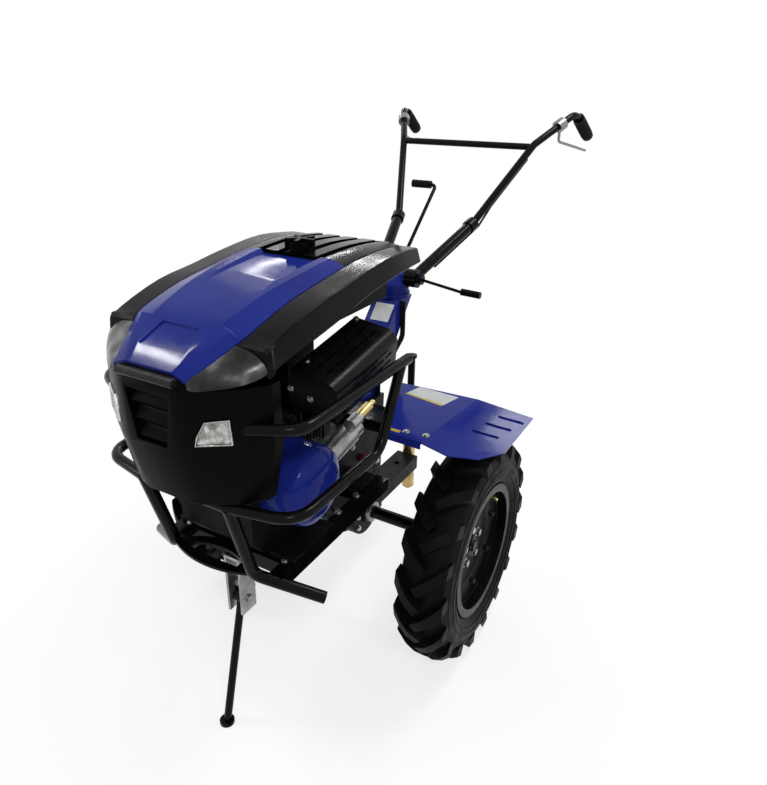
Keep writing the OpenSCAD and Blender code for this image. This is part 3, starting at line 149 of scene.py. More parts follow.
# finishes: colour stops over a cloud (on the brow and the lip these hold painted sheen and reflection), a
# veil of dust, wear or painted reflection streaks, range of roughness, bumps, shader values
finishLooks = {
    "bluePaint": {
        "cloud": {"scale": 5, "detail": 5},
        "stops": [(0.3, (0.010, 0.020, 0.215)), (0.7, (0.017, 0.034, 0.300))],
        "veil": {"scale": 38, "detail": 6, "rough": 0.7, "from": (0.60, 0.82), "most": 0.07,
                 "colour": (0.24, 0.27, 0.42)},
        "gloss": {"scale": 60, "detail": 3, "range": (0.08, 0.14)},
        "bumps": [{"scale": 8, "detail": 1, "strength": 0.5, "depth": 0.0012},
                  {"scale": 420, "detail": 2, "strength": 0.03, "depth": 0.0004}],
        "shader": {"Specular IOR Level": 0.06, "Coat Weight": 0.04, "Coat Roughness": 0.03}},
    "blackPlastic": {
        "cloud": {"scale": 9, "detail": 5},
        "stops": [(0.3, (0.0014, 0.0014, 0.0015)), (0.7, (0.0034, 0.0034, 0.0036))],
        "veil": {"scale": 26, "detail": 7, "rough": 0.72, "stretch": (1, 0.25, 1), "from": (0.62, 0.84),
                 "most": 0.22, "colour": (0.03, 0.03, 0.03)},
        "gloss": {"scale": 40, "range": (0.26, 0.40)},
        "bumps": [{"scale": 900, "detail": 2, "strength": 0.08, "depth": 0.0004}],
        "shader": {"Specular IOR Level": 0.035}},
    "glossShell": {
        "cloud": {"scale": 8, "detail": 5},
        "stops": [(0.3, (0.0022, 0.0022, 0.0020)), (0.7, (0.0055, 0.0055, 0.0050))],
        # the light streaks of this veil, stretched along the hood, are painted reflection; the black under
        # them is the shell's own colour
        "veil": {"scale": 20, "detail": 6, "rough": 0.7, "stretch": (1, 0.18, 1), "from": (0.58, 0.80),
                 "most": 0.25, "colour": (0.05, 0.05, 0.045)},
        "gloss": {"scale": 34, "range": (0.14, 0.27)},
        "bumps": [{"scale": 700, "detail": 2, "strength": 0.015, "depth": 0.0003}],
        "shader": {"Specular IOR Level": 0.06}},
    "blackTube": {
        "cloud": {"scale": 12},
        "stops": [(0.3, (0.0020, 0.0020, 0.0022)), (0.7, (0.0048, 0.0048, 0.0052))],
        "veil": {"scale": 30, "detail": 6, "rough": 0.7, "from": (0.60, 0.84), "most": 0.30,
                 "colour": (0.020, 0.0195, 0.019)},
        "gloss": {"scale": 70, "range": (0.12, 0.22)},
        "bumps": [{"scale": 260, "detail": 3, "strength": 0.04, "depth": 0.0004}],
        "shader": {"Specular IOR Level": 0.09}},
    "shieldBlack": {
        "cloud": {"scale": 14, "detail": 6},
        "stops": [(0.3, (0.0028, 0.0028, 0.0029)), (0.7, (0.0070, 0.0070, 0.0072))],
        "veil": {"scale": 34, "detail": 6, "rough": 0.7, "from": (0.58, 0.82), "most": 0.35,
                 "colour": (0.030, 0.030, 0.030)},
        "gloss": {"scale": 50, "range": (0.22, 0.36)},
        "bumps": [{"scale": 330, "detail": 3, "strength": 0.10, "depth": 0.0005}],
        "shader": {"Specular IOR Level": 0.10}},
    "castIron": {
        "cloud": {"scale": 18, "detail": 7, "rough": 0.65},
        "stops": [(0.3, (0.0030, 0.0030, 0.0032)), (0.6, (0.0075, 0.0075, 0.0080)),
                  (0.8, (0.016, 0.015, 0.014))],
        "gloss": {"scale": 30, "detail": 5, "range": (0.36, 0.54)},
        "bumps": [{"scale": 240, "detail": 5, "rough": 0.65, "strength": 0.30, "depth": 0.0009}],
        "shader": {"Specular IOR Level": 0.08}},
    "finIron": {
        "cloud": {"scale": 24, "detail": 6, "rough": 0.6},
        "stops": [(0.3, (0.004, 0.004, 0.004)), (0.7, (0.014, 0.0137, 0.0133))],
        "veil": {"scale": 60, "from": (0.45, 0.68), "most": 0.7, "edges": (0.52, 0.58),
                 "colour": (0.22, 0.22, 0.21)},
        "gloss": {"scale": 50, "range": (0.36, 0.52)},
        "bumps": [{"scale": 360, "strength": 0.25, "depth": 0.0008}],
        "shader": {"Metallic": 0.3, "Specular IOR Level": 0.18}},
    "rimPaint": {
        "cloud": {"scale": 16, "detail": 5},
        "stops": [(0.3, (0.0026, 0.0026, 0.0028)), (0.7, (0.0070, 0.0070, 0.0075))],
        "veil": {"scale": 70, "detail": 5, "from": (0.50, 0.72), "most": 0.8, "edges": (0.53, 0.60),
                 "colour": (0.16, 0.155, 0.15)},
        "gloss": {"scale": 44, "range": (0.20, 0.34)},
        "bumps": [{"scale": 280, "detail": 3, "strength": 0.07, "depth": 0.0005}],
        "shader": {"Specular IOR Level": 0.08}},
    "castAlloy": {
        "cloud": {"scale": 22, "detail": 6, "rough": 0.6},
        "stops": [(0.25, (0.22, 0.22, 0.22)), (0.6, (0.42, 0.42, 0.41)),
                  (0.85, (0.58, 0.57, 0.55))],
        "gloss": {"scale": 60, "range": (0.28, 0.46)},
        "bumps": [{"scale": 420, "strength": 0.20, "depth": 0.0007}],
        "shader": {"Metallic": 0.85}},
    "zincBolt": {
        "cloud": {"scale": 70, "detail": 5, "rough": 0.6},
        "stops": [(0.3, (0.36, 0.36, 0.36)), (0.7, (0.60, 0.60, 0.58))],
        "gloss": {"scale": 120, "range": (0.22, 0.38)},
        "bumps": [{"scale": 900, "detail": 2, "strength": 0.10, "depth": 0.0003}],
        "shader": {"Metallic": 1.0}},
    "brushedSteel": {
        "cloud": {"scale": 30, "detail": 3, "rough": 0.5},
        "stops": [(0.3, (0.20, 0.20, 0.20)), (0.7, (0.27, 0.27, 0.265))],
        "gloss": {"scale": 90, "range": (0.20, 0.34)},
        "bumps": [{"scale": 700, "detail": 2, "strength": 0.03, "depth": 0.0003}],
        "shader": {"Metallic": 1.0}},
    "brassPlate": {
        "cloud": {"scale": 26, "detail": 6, "rough": 0.6},
        "stops": [(0.3, (0.40, 0.28, 0.10)), (0.6, (0.60, 0.46, 0.20)),
                  (0.85, (0.70, 0.60, 0.38))],
        "gloss": {"scale": 70, "range": (0.24, 0.40)},
        "bumps": [{"scale": 380, "detail": 3, "strength": 0.10, "depth": 0.0006}],
        "shader": {"Metallic": 0.9}},
    # brows: smoked plastic, dark in its own colour; the bright mottled streaks of the top colour stop are
    # painted sheen
    "smokedBrowPaintedSheen": {
        "cloud": {"scale": 17, "detail": 2.5, "rough": 0.5, "stretch": (1, 0.6, 1)},
        "stops": [(0.34, (0.008, 0.008, 0.008)), (0.52, (0.045, 0.046, 0.0455)),
                  (0.70, (0.26, 0.265, 0.26))],
        "gloss": {"scale": 50, "range": (0.14, 0.30)},
        "bumps": [{"scale": 300, "strength": 0.06, "depth": 0.0005}],
        "shader": {"Metallic": 0.35, "Specular IOR Level": 0.32}},
    # nose lip: black in its own colour; the grey blotches of the upper colour stops are painted reflection
    "blackLipPaintedReflection": {
        "cloud": {"scale": 60, "detail": 6, "rough": 0.7},
        "stops": [(0.35, (0.004, 0.004, 0.004)), (0.55, (0.013, 0.013, 0.013)),
                  (0.72, (0.055, 0.055, 0.054))],
        "gloss": {"scale": 80, "range": (0.30, 0.48)},
        "bumps": [{"scale": 420, "strength": 0.18, "depth": 0.0006}],
        "shader": {"Specular IOR Level": 0.17}},
    "clearLens": {
        "colour": (0.95, 0.96, 0.96),
        "gloss": {"scale": 40, "detail": 3, "range": (0.02, 0.08)},
        "bumps": [{"scale": 150, "detail": 2, "strength": 0.05, "depth": 0.0005}],
        "shader": {"Transmission Weight": 0.92, "IOR": 1.45}},
    "mirrorPan": {
        "cloud": {"scale": 75, "detail": 2, "rough": 0.5},
        "stops": [(0.38, (0.20, 0.17, 0.155)), (0.62, (0.66, 0.63, 0.60))],
        "gloss": {"scale": 50, "detail": 3, "range": (0.12, 0.28)},
        "bumps": [{"scale": 240, "detail": 2, "strength": 0.10, "depth": 0.0006}],
        "shader": {"Metallic": 1.0}},
    "chromeBezel": {
        "cloud": {"scale": 30},
        "stops": [(0.3, (0.40, 0.40, 0.40)), (0.7, (0.62, 0.62, 0.61))],
        "gloss": {"scale": 60, "detail": 3, "range": (0.10, 0.22)},
        "shader": {"Metallic": 1.0}},
    "tyreRubber": {
        "cloud": {"scale": 16, "detail": 7, "rough": 0.65},
        "stops": [(0.3, (0.0026, 0.0026, 0.0026)), (0.6, (0.0052, 0.0052, 0.0052)),
                  (0.85, (0.013, 0.0127, 0.0124))],
        "gloss": {"scale": 36, "detail": 5, "range": (0.40, 0.58)},
        "bumps": [{"scale": 520, "detail": 5, "rough": 0.65, "strength": 0.22, "depth": 0.0006}],
        "shader": {"Specular IOR Level": 0.06}},
    "gripRubber": {
        "cloud": {"scale": 30, "detail": 5},
        "stops": [(0.3, (0.003, 0.003, 0.003)), (0.7, (0.008, 0.008, 0.008))],
        "gloss": {"scale": 60, "range": (0.42, 0.58)},
        "bumps": [{"scale": 700, "detail": 3, "strength": 0.18, "depth": 0.0005}],
        "shader": {"Specular IOR Level": 0.08}},
    "plateWhite": {
        "cloud": {"scale": 18, "detail": 5},
        "stops": [(0.3, (0.55, 0.56, 0.57)), (0.7, (0.70, 0.71, 0.72))],
        "gloss": {"scale": 40, "range": (0.28, 0.42)},
        "bumps": [{"scale": 500, "detail": 3, "strength": 0.05, "depth": 0.0004}]},
    "plateYellow": {
        "cloud": {"scale": 30, "detail": 5},
        "stops": [(0.3, (0.48, 0.32, 0.02)), (0.7, (0.64, 0.46, 0.05))],
        "gloss": {"scale": 40, "range": (0.30, 0.44)},
        "bumps": [{"scale": 500, "detail": 3, "strength": 0.05, "depth": 0.0004}]},
    "redCap": {
        "cloud": {"scale": 30, "detail": 5},
        "stops": [(0.3, (0.20, 0.010, 0.012)), (0.7, (0.34, 0.022, 0.020))],
        "gloss": {"scale": 40, "range": (0.26, 0.40)},
        "bumps": [{"scale": 400, "detail": 3, "strength": 0.06, "depth": 0.0004}]},
}
cloudDefaults = {"detail": 4, "rough": 0.55}  # where a finish doesn't say
cloudMiddle = (0.3, 0.7)  # values of a cloud that a range spreads over

# one material's tree, with a step for each part of its look
class Finish:
    def __init__(self, name):
        self.mat = bpy.data.materials.new(name)
        self.mat.use_nodes = True
        self.tree = self.mat.node_tree
        self.shader = self.tree.nodes["Principled BSDF"]
        self.place = self.node("ShaderNodeTexCoord").outputs["Object"]

    def node(self, kind, **inputs):
        n = self.tree.nodes.new(kind)
        for key, value in inputs.items():
            n.inputs[key].default_value = value
        return n

    def link(self, a, b):
        self.tree.links.new(a, b)

    def cloud(self, cfg):
        cfg = {**cloudDefaults, **cfg}
        n = self.node("ShaderNodeTexNoise", Scale=cfg["scale"], Detail=cfg["detail"], Roughness=cfg["rough"])
        place = self.place
        if "stretch" in cfg:
            stretch = self.node("ShaderNodeMapping", Scale=cfg["stretch"])
            self.link(place, stretch.inputs["Vector"])
            place = stretch.outputs["Vector"]
        self.link(place, n.inputs["Vector"])
        return n.outputs["Fac"]

    def spread(self, value, to, over=cloudMiddle):
        n = self.node("ShaderNodeMapRange")
        for names, ends in ((("From Min", "From Max"), over), (("To Min", "To Max"), to)):
            for name, end in zip(names, ends):
                n.inputs[name].default_value = end
        self.link(value, n.inputs["Value"])
        return n.outputs["Result"]

    def tone(self, cfg):
        n = self.node("ShaderNodeValToRGB")
        stops = n.color_ramp.elements
        while len(stops) < len(cfg["stops"]):
            stops.new(0.5)
        for stop, (place, colour) in zip(stops, cfg["stops"]):
            stop.position = place
            stop.color = (*colour, 1)
        self.link(self.cloud(cfg["cloud"]), n.inputs["Fac"])
        return n.outputs["Color"]

    # dust or scuffs over the tone, light streaks of painted reflection on the glossy shells, or wear kept to
    # the sharp edges
    def veil(self, tone, cfg):
        share = self.spread(self.cloud(cfg), (0, cfg["most"]), cfg["from"])
        if "edges" in cfg:
            corner = self.node("ShaderNodeNewGeometry").outputs["Pointiness"]
            sharp = self.spread(corner, (0, 1), cfg["edges"])
            both = self.node("ShaderNodeMath")
            both.operation = "MULTIPLY"
            self.link(sharp, both.inputs[0])
            self.link(share, both.inputs[1])
            share = both.outputs[0]
        mix = self.node("ShaderNodeMix")
        mix.data_type = "RGBA"
        factor, low, high = (next(s for s in mix.inputs if s.identifier == key)
                             for key in ("Factor_Float", "A_Color", "B_Color"))
        self.link(share, factor)
        self.link(tone, low)
        high.default_value = (*cfg["colour"], 1)
        return next(s for s in mix.outputs if s.identifier == "Result_Color")

    def bump(self, cfg):
        n = self.node("ShaderNodeBump", Strength=cfg["strength"], Distance=cfg["depth"])
        self.link(self.cloud(cfg), n.inputs["Height"])
        normal = self.shader.inputs["Normal"]
        if normal.is_linked:
            self.link(normal.links[0].from_socket, n.inputs["Normal"])
        self.link(n.outputs["Normal"], normal)

def makeFinish(name, look):
    f = Finish(name)
    base = f.shader.inputs["Base Color"]
    if "colour" in look:
        base.default_value = (*look["colour"], 1)
    else:
        tone = f.tone(look)
        f.link(f.veil(tone, look["veil"]) if "veil" in look else tone, base)
    f.link(f.spread(f.cloud(look["gloss"]), look["gloss"]["range"]), f.shader.inputs["Roughness"])
    for cfg in look.get("bumps", []):
        f.bump(cfg)
    for key, value in look.get("shader", {}).items():
        f.shader.inputs[key].default_value = value
    return f.mat

finishes = {name: makeFinish(name, look) for name, look in finishLooks.items()}
print("materials made:", len(finishes))

nodeFinish = {
    "bluePaint": "hood_panel flywheel_shroud fender_left fender_right column swivel_head",
    "blackPlastic": "front_cowl fuel_cap air_filter belt_guard fuel_tank",
    "glossShell": "hood_rear hood_shells clamp_lever gear_lever",
    "blackTube": "frame_rails bumper_tubes bumper_plate guard_front guard_sides guard_uppers fender_beam "
                 "stand_leg arms bars crossbar drag_stake half_shaft_left half_shaft_right",
    "shieldBlack": "muffler_shield muffler",
    "castIron": "gearbox engine_block hitch_bracket",
    "finIron": "finned_cylinder",
    "rimPaint": "rim_left rim_right",
    "castAlloy": "axle_flanges starter_motor stand_bracket",
    "brushedSteel": "hand_levers",
    "brassPlate": "solenoid hitch_sleeve",
    "smokedBrowPaintedSheen": "brows",
    "blackLipPaintedReflection": "nose_strip",
    "clearLens": "lamps",
    "tyreRubber": "tyre_left tyre_right",
    "gripRubber": "grips bar_cables column_cables",
}

# tree that joins the loose triangles and shades them by angle
def softEdgeTree():
    tree = bpy.data.node_groups.new("softEdges", "GeometryNodeTree")
    tree.interface.new_socket("Geometry", in_out="INPUT", socket_type="NodeSocketGeometry")
    tree.interface.new_socket("Weld", in_out="INPUT", socket_type="NodeSocketFloat")
    tree.interface.new_socket("Crease", in_out="INPUT", socket_type="NodeSocketFloat")
    tree.interface.new_socket("Geometry", in_out="OUTPUT", socket_type="NodeSocketGeometry")
    new, link = tree.nodes.new, tree.links.new
    start, end = new("NodeGroupInput"), new("NodeGroupOutput")
    join = new("GeometryNodeMergeByDistance")
    forget = new("GeometryNodeRemoveAttribute")
    forget.inputs["Name"].default_value = "custom_normal"
    smooth = new("GeometryNodeSetShadeSmooth")
    smooth.domain = "FACE"
    smooth.inputs["Shade Smooth"].default_value = True
    angle = new("GeometryNodeInputMeshEdgeAngle")
    small = new("FunctionNodeCompare")
    small.operation = "LESS_THAN"
    sharp = new("GeometryNodeSetShadeSmooth")
    sharp.domain = "EDGE"
    link(start.outputs["Geometry"], join.inputs["Geometry"])
    link(start.outputs["Weld"], join.inputs["Distance"])
    link(join.outputs["Geometry"], forget.inputs["Geometry"])
    link(forget.outputs["Geometry"], smooth.inputs["Geometry"])
    link(smooth.outputs["Geometry"], sharp.inputs["Geometry"])
    link(angle.outputs["Unsigned Angle"], small.inputs["A"])
    link(start.outputs["Crease"], small.inputs["B"])
    link(small.outputs["Result"], sharp.inputs["Shade Smooth"])
    link(sharp.outputs["Geometry"], end.inputs["Geometry"])
    return tree

softEdges = softEdgeTree()

# a modifier takes its inputs by the socket's identifier
def setInput(mod, name, value):
    for item in mod.node_group.interface.items_tree:
        if item.item_type == "SOCKET" and item.in_out == "INPUT" and item.name == name:
            mod[item.identifier] = value

# edges of the solids, in metres and degrees: the square ones get no bevel
edges = {
    "bevel": {"default": 0.0012, "fender_left": 0.0008, "fender_right": 0.0008, "tyre_left": 0.003,
              "tyre_right": 0.003, "hood_shells": 0.004, "hood_rear": 0.003, "front_cowl": 0.005,
              "brows": 0.002, "gearbox": 0.005, "engine_block": 0.005, "fuel_tank": 0.012,
              "belt_guard": 0.008, "flywheel_shroud": 0.006, "fender_beam": 0.003, "column": 0.004,
              "muffler_shield": 0.0008, "solenoid": 0.0015, "starter_motor": 0.002},
    "weld": {"default": 0.00002, "fender_left": 0.0002, "fender_right": 0.0002, "tyre_left": 0.0001,
             "tyre_right": 0.0001},
    "crease": {"default": 32, "fender_left": 11, "fender_right": 11, "hood_panel": 13, "hood_shells": 20,
               "front_cowl": 20},
    "square": {"hood_panel", "fuel_cap", "bumper_tubes", "guard_front", "guard_sides", "guard_uppers",
               "bars", "bar_cables", "column_cables", "crossbar"},
    "bevelFrom": 34, "bevelSteps": 2,
}

def soften(name, cfg):
    def own(key):
        return cfg[key].get(name, cfg[key]["default"])
    mod = nodes[name].modifiers.new("softEdges", "NODES")
    mod.node_group = softEdges
    setInput(mod, "Weld", own("weld"))
    setInput(mod, "Crease", math.radians(own("crease")))
    if name in cfg["square"]:
        return
    bevel = nodes[name].modifiers.new("edge", "BEVEL")
    bevel.width = own("bevel")
    bevel.segments = cfg["bevelSteps"]
    bevel.limit_method = "ANGLE"
    bevel.angle_limit = math.radians(cfg["bevelFrom"])
    bevel.harden_normals = True
    bevel.use_clamp_overlap = True

for finish, names in nodeFinish.items():
    for name in names.split():
        mesh = nodes[name].data
        mesh.materials.clear()
        mesh.materials.append(finishes[finish])
        soften(name, edges)
print("nodes dressed")

surfaces = {}  # search trees of the solids, made when first asked for

# where a ray meets a solid, with the direction out of it
def onSurface(name, start, ahead):
    if name not in surfaces:
        mesh = nodes[name].data
        surfaces[name] = BVHTree.FromPolygons([v.co.copy() for v in mesh.vertices],
                                              [tuple(p.vertices) for p in mesh.polygons])
    ahead = Vector(ahead).normalized()
    place, normal, _, _ = surfaces[name].ray_cast(Vector(start), ahead)
    if place is None:
        raise ValueError(f"no surface of {name} from {tuple(start)}")
    return place, (normal if normal.dot(ahead) < 0 else -normal)

# turns a piece's z axis along out and moves it to foot
def standOn(foot, out):
    return Matrix.Translation(foot) @ out.to_track_quat("Z", "Y").to_matrix().to_4x4()

def toMesh(bm, name):
    mesh = bpy.data.meshes.new(name)
    bm.to_mesh(mesh)
    bm.free()
    return mesh

def addPiece(name, mesh, body, slot, *used):
    obj = bpy.data.objects.new(name, mesh)
    scene.collection.objects.link(obj)
    for finish in used:
        mesh.materials.append(finishes[finish])
    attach(obj, body)
    return obj

# floor: shaded near the wheels, white farther out
def makeFloor(cfg):
    bm = bmesh.new()
    bmesh.ops.create_grid(bm, x_segments=2, y_segments=2, size=cfg["floorHalf"])
    mesh = toMesh(bm, "studioFloor")
    floor = bpy.data.objects.new("studioFloor", mesh)
    scene.collection.objects.link(floor)
    floor.location = (0, 0, -cfg["floorDrop"])
    mat = bpy.data.materials.new("studioFloor")
    mat.use_nodes = True
    tree = mat.node_tree
    tree.nodes.clear()
    new, link = tree.nodes.new, tree.links.new
    def matte(shade):
        n = new("ShaderNodeBsdfDiffuse")
        n.inputs["Color"].default_value = (shade, shade, shade, 1)
        return n.outputs[0]
    def glow(strength):
        n = new("ShaderNodeEmission")
        n.inputs["Strength"].default_value = strength
        return n.outputs[0]
    def mixed(share, a, b):
        n = new("ShaderNodeMixShader")
        for value, slot in zip((share, a, b), n.inputs):
            link(value, slot)
        return n.outputs[0]
    lit = new("ShaderNodeAddShader")
    link(matte(cfg["floorShade"]), lit.inputs[0])
    link(glow(cfg["floorGlow"]), lit.inputs[1])
    reach = new("ShaderNodeVectorMath")
    reach.operation = "LENGTH"
    link(new("ShaderNodeTexCoord").outputs["Object"], reach.inputs[0])
    fade = new("ShaderNodeMapRange")
    fade.interpolation_type = "SMOOTHSTEP"
    fade.inputs["From Min"].default_value = cfg["fadeFrom"]
    fade.inputs["From Max"].default_value = cfg["fadeTo"]
    link(reach.outputs["Value"], fade.inputs["Value"])
    seen = mixed(fade.outputs["Result"], lit.outputs[0], glow(cfg["white"]))
    both = mixed(whiteRays(tree), matte(cfg["floorBounce"]), seen)
    link(both, new("ShaderNodeOutputMaterial").inputs["Surface"])
    mesh.materials.append(mat)

makeFloor(studio)

# trees that set one small shape on every marked point, turned to the point's own direction
markShapes = {"boltHeads": {"sizes": ("Head radius", "Head height", "Washer radius", "Washer height"),
                            "headSides": 6, "washerSides": 20},
              "ribRings": {"sizes": ("Ring radius", "Rib radius"), "ringSteps": 48, "ribSteps": 8}}

def boltHeadShape(tree, start, cfg):
    new, link = tree.nodes.new, tree.links.new
    head = new("GeometryNodeJoinGeometry")
    for part, sides in (("Head", cfg["headSides"]), ("Washer", cfg["washerSides"])):
        disc = new("GeometryNodeMeshCylinder")
        disc.inputs["Vertices"].default_value = sides
        link(start.outputs[part + " radius"], disc.inputs["Radius"])
        link(start.outputs[part + " height"], disc.inputs["Depth"])
        half = new("ShaderNodeMath")
        half.operation = "MULTIPLY"
        half.inputs[1].default_value = 0.5
        link(start.outputs[part + " height"], half.inputs[0])
        up = new("ShaderNodeCombineXYZ")
        link(half.outputs[0], up.inputs["Z"])
        move = new("GeometryNodeTransform")
        link(disc.outputs["Mesh"], move.inputs["Geometry"])
        link(up.outputs[0], move.inputs["Translation"])
        link(move.outputs["Geometry"], head.inputs["Geometry"])
    return head.outputs["Geometry"]

def ribRingShape(tree, start, cfg):
    new, link = tree.nodes.new, tree.links.new
    swept = new("GeometryNodeCurveToMesh")
    for size, steps, slot in (("Ring radius", "ringSteps", "Curve"),
                              ("Rib radius", "ribSteps", "Profile Curve")):
        circle = new("GeometryNodeCurvePrimitiveCircle")
        circle.inputs["Resolution"].default_value = cfg[steps]
        link(start.outputs[size], circle.inputs["Radius"])
        link(circle.outputs["Curve"], swept.inputs[slot])
    soft = new("GeometryNodeSetShadeSmooth")
    link(swept.outputs["Mesh"], soft.inputs["Geometry"])
    return soft.outputs["Geometry"]

def marksTree(kind, shape, cfg):
    tree = bpy.data.node_groups.new(kind, "GeometryNodeTree")
    tree.interface.new_socket("Geometry", in_out="INPUT", socket_type="NodeSocketGeometry")
    for size in cfg["sizes"]:
        tree.interface.new_socket(size, in_out="INPUT", socket_type="NodeSocketFloat")
    tree.interface.new_socket("Finish", in_out="INPUT", socket_type="NodeSocketMaterial")
    tree.interface.new_socket("Geometry", in_out="OUTPUT", socket_type="NodeSocketGeometry")
    new, link = tree.nodes.new, tree.links.new
    start, end = new("NodeGroupInput"), new("NodeGroupOutput")
    out = new("GeometryNodeInputNamedAttribute")
    out.data_type = "FLOAT_VECTOR"
    out.inputs["Name"].default_value = "out"
    turn = new("FunctionNodeAlignRotationToVector")
    turn.axis = "Z"
    link(out.outputs["Attribute"], turn.inputs["Vector"])
    place = new("GeometryNodeInstanceOnPoints")
    link(start.outputs["Geometry"], place.inputs["Points"])
    link(shape(tree, start, cfg), place.inputs["Instance"])
    link(turn.outputs["Rotation"], place.inputs["Rotation"])
    real = new("GeometryNodeRealizeInstances")
    link(place.outputs["Instances"], real.inputs["Geometry"])
    paint = new("GeometryNodeSetMaterial")
    link(real.outputs["Geometry"], paint.inputs["Geometry"])
    link(start.outputs["Finish"], paint.inputs["Material"])
    link(paint.outputs["Geometry"], end.inputs["Geometry"])
    return tree

trees = {kind: marksTree(kind, shape, markShapes[kind])
         for kind, shape in (("boltHeads", boltHeadShape), ("ribRings", ribRingShape))}

# radius and height of a hexagon head, then of the washer under it
def hexHead(*sizes):
    return dict(zip(markShapes["boltHeads"]["sizes"], sizes))

# marks are pairs of a place and a direction
def setOnMarks(name, kind, marks, sizes, body, slot, finish):
    mesh = bpy.data.meshes.new(name + "Marks")
    mesh.from_pydata([tuple(place) for place, _ in marks], [], [])
    out = mesh.attributes.new("out", "FLOAT_VECTOR", "POINT")
    out.data.foreach_set("vector", [c for _, way in marks for c in way])
    tmp = bpy.data.objects.new(name + "Marks", mesh)
    scene.collection.objects.link(tmp)
    mod = tmp.modifiers.new(kind, "NODES")
    mod.node_group = trees[kind]
    for key, value in sizes.items():
        setInput(mod, key, value)
    setInput(mod, "Finish", finishes[finish])
    made = bpy.data.meshes.new_from_object(tmp.evaluated_get(bpy.context.evaluated_depsgraph_get()))
    bpy.data.objects.remove(tmp)
    made.name = name
    addPiece(name, made, body, slot)

# wheels: nuts on the hub flange, screws round the dish, rings on the sidewalls, valve
wheelTrim = {
    "axle": (-0.14154, 0.29), "outerStart": 0.6, "innerStart": 0.15,
    "nuts": {"count": 5, "circle": 0.046, "turn": 18, "sizes": hexHead(0.0095, 0.011, 0.0125, 0.003)},
    "screws": {"count": 8, "circle": 0.128, "turn": 10, "sizes": hexHead(0.0075, 0.007, 0.0095, 0.0022)},
    "axleNut": {"offMiddle": 0.001, "sink": 0.001, "sizes": hexHead(0.016, 0.010, 0.022, 0.003)},
    "rings": {"radii": (0.197, 0.212, 0.232), "turn": 96, "thick": 0.0014},
    "valve": {"circle": 0.138, "turn": 64, "sides": 16, "taper": 0.92,  # steps: foot, top, radius
              "steps": ((-0.004, 0.010, 0.0052), (0.009, 0.026, 0.0036), (0.025, 0.033, 0.0046))},
}

def dressWheel(side, cfg):
    word = "left" if side > 0 else "right"
    body = "wheel_" + word
    y0, z0 = cfg["axle"]
    def seek(node, radius, angle, x=cfg["outerStart"], way=-1):
        a = math.radians(angle)
        start = (side * x, y0 + radius * math.cos(a), z0 + radius * math.sin(a))
        return onSurface(node + word, start, (side * way, 0, 0))
    def roundHub(trim):
        step = 360 / trim["count"]
        return [seek("rim_", trim["circle"], i * step + trim["turn"]) for i in range(trim["count"])]
    setOnMarks("wheelNuts_" + word, "boltHeads", roundHub(cfg["nuts"]), cfg["nuts"]["sizes"],
               body, "metal_silver", "zincBolt")
    setOnMarks("dishScrews_" + word, "boltHeads", roundHub(cfg["screws"]), cfg["screws"]["sizes"],
               body, "rim_dark", "rimPaint")
    nut = cfg["axleNut"]
    hub, out = seek("half_shaft_", nut["offMiddle"], 0)
    setOnMarks("axleNut_" + word, "boltHeads", [(hub - out * nut["sink"], out)], nut["sizes"],
               body, "rim_dark", "rimPaint")
    rings = cfg["rings"]
    for k, radius in enumerate(rings["radii"]):
        walls = [seek("tyre_", radius, rings["turn"])[0],
                 seek("tyre_", radius, rings["turn"], cfg["innerStart"], 1)[0]]
        marks = [((spot.x, y0, z0), (1, 0, 0)) for spot in walls]
        sizes = {"Ring radius": radius, "Rib radius": rings["thick"]}
        setOnMarks(f"sidewallRing_{word}_{k}", "ribRings", marks, sizes, body, "tyre_black", "tyreRubber")
    valve = cfg["valve"]
    bm = bmesh.new()
    for low, high, wide in valve["steps"]:
        made = bmesh.ops.create_cone(bm, cap_ends=True, segments=valve["sides"], radius1=wide,
                                     radius2=wide * valve["taper"], depth=high - low)
        bmesh.ops.translate(bm, verts=made["verts"], vec=(0, 0, (low + high) / 2))
    bm.transform(standOn(*seek("rim_", valve["circle"], valve["turn"])))
    addPiece("valve_" + word, toMesh(bm, "valve_" + word), body, "metal_brass", "brassPlate")

for side in (1, -1):
    dressWheel(side, wheelTrim)
print("wheels dressed")

# grips: ribs round each rubber, along its own longest axis
gripTrim = {"ribs": 15, "firstShare": 0.10, "lastShare": 0.86, "ribThick": 0.0013, "ribSink": 0.0004,
            "axisRounds": 30}

def dressGrips(cfg):
    for side, word in ((1, "left"), (-1, "right")):
        pts = [v.co for v in nodes["grips"].data.vertices if v.co.x * side > 0]
        mid = sum(pts, Vector()) / len(pts)
        rays = [p - mid for p in pts]
        axis = max(rays, key=lambda r: r.length).normalized()
        for _ in range(cfg["axisRounds"]):
            axis = sum((r * r.dot(axis) for r in rays), Vector()).normalized()
        along = [r.dot(axis) for r in rays]
        low, high = min(along), max(along)
        radius = max((r - axis * s).length for r, s in zip(rays, along))
        marks = []
        for i in range(cfg["ribs"]):
            share = cfg["firstShare"] + (cfg["lastShare"] - cfg["firstShare"]) * i / (cfg["ribs"] - 1)
            marks.append((mid + axis * (low + (high - low) * share), axis))
        setOnMarks("gripRibs_" + word, "ribRings", marks,
                   {"Ring radius": radius - cfg["ribSink"], "Rib radius": cfg["ribThick"]},
                   "handlebar", "grip_black", "gripRubber")

dressGrips(gripTrim)
print("grips dressed")

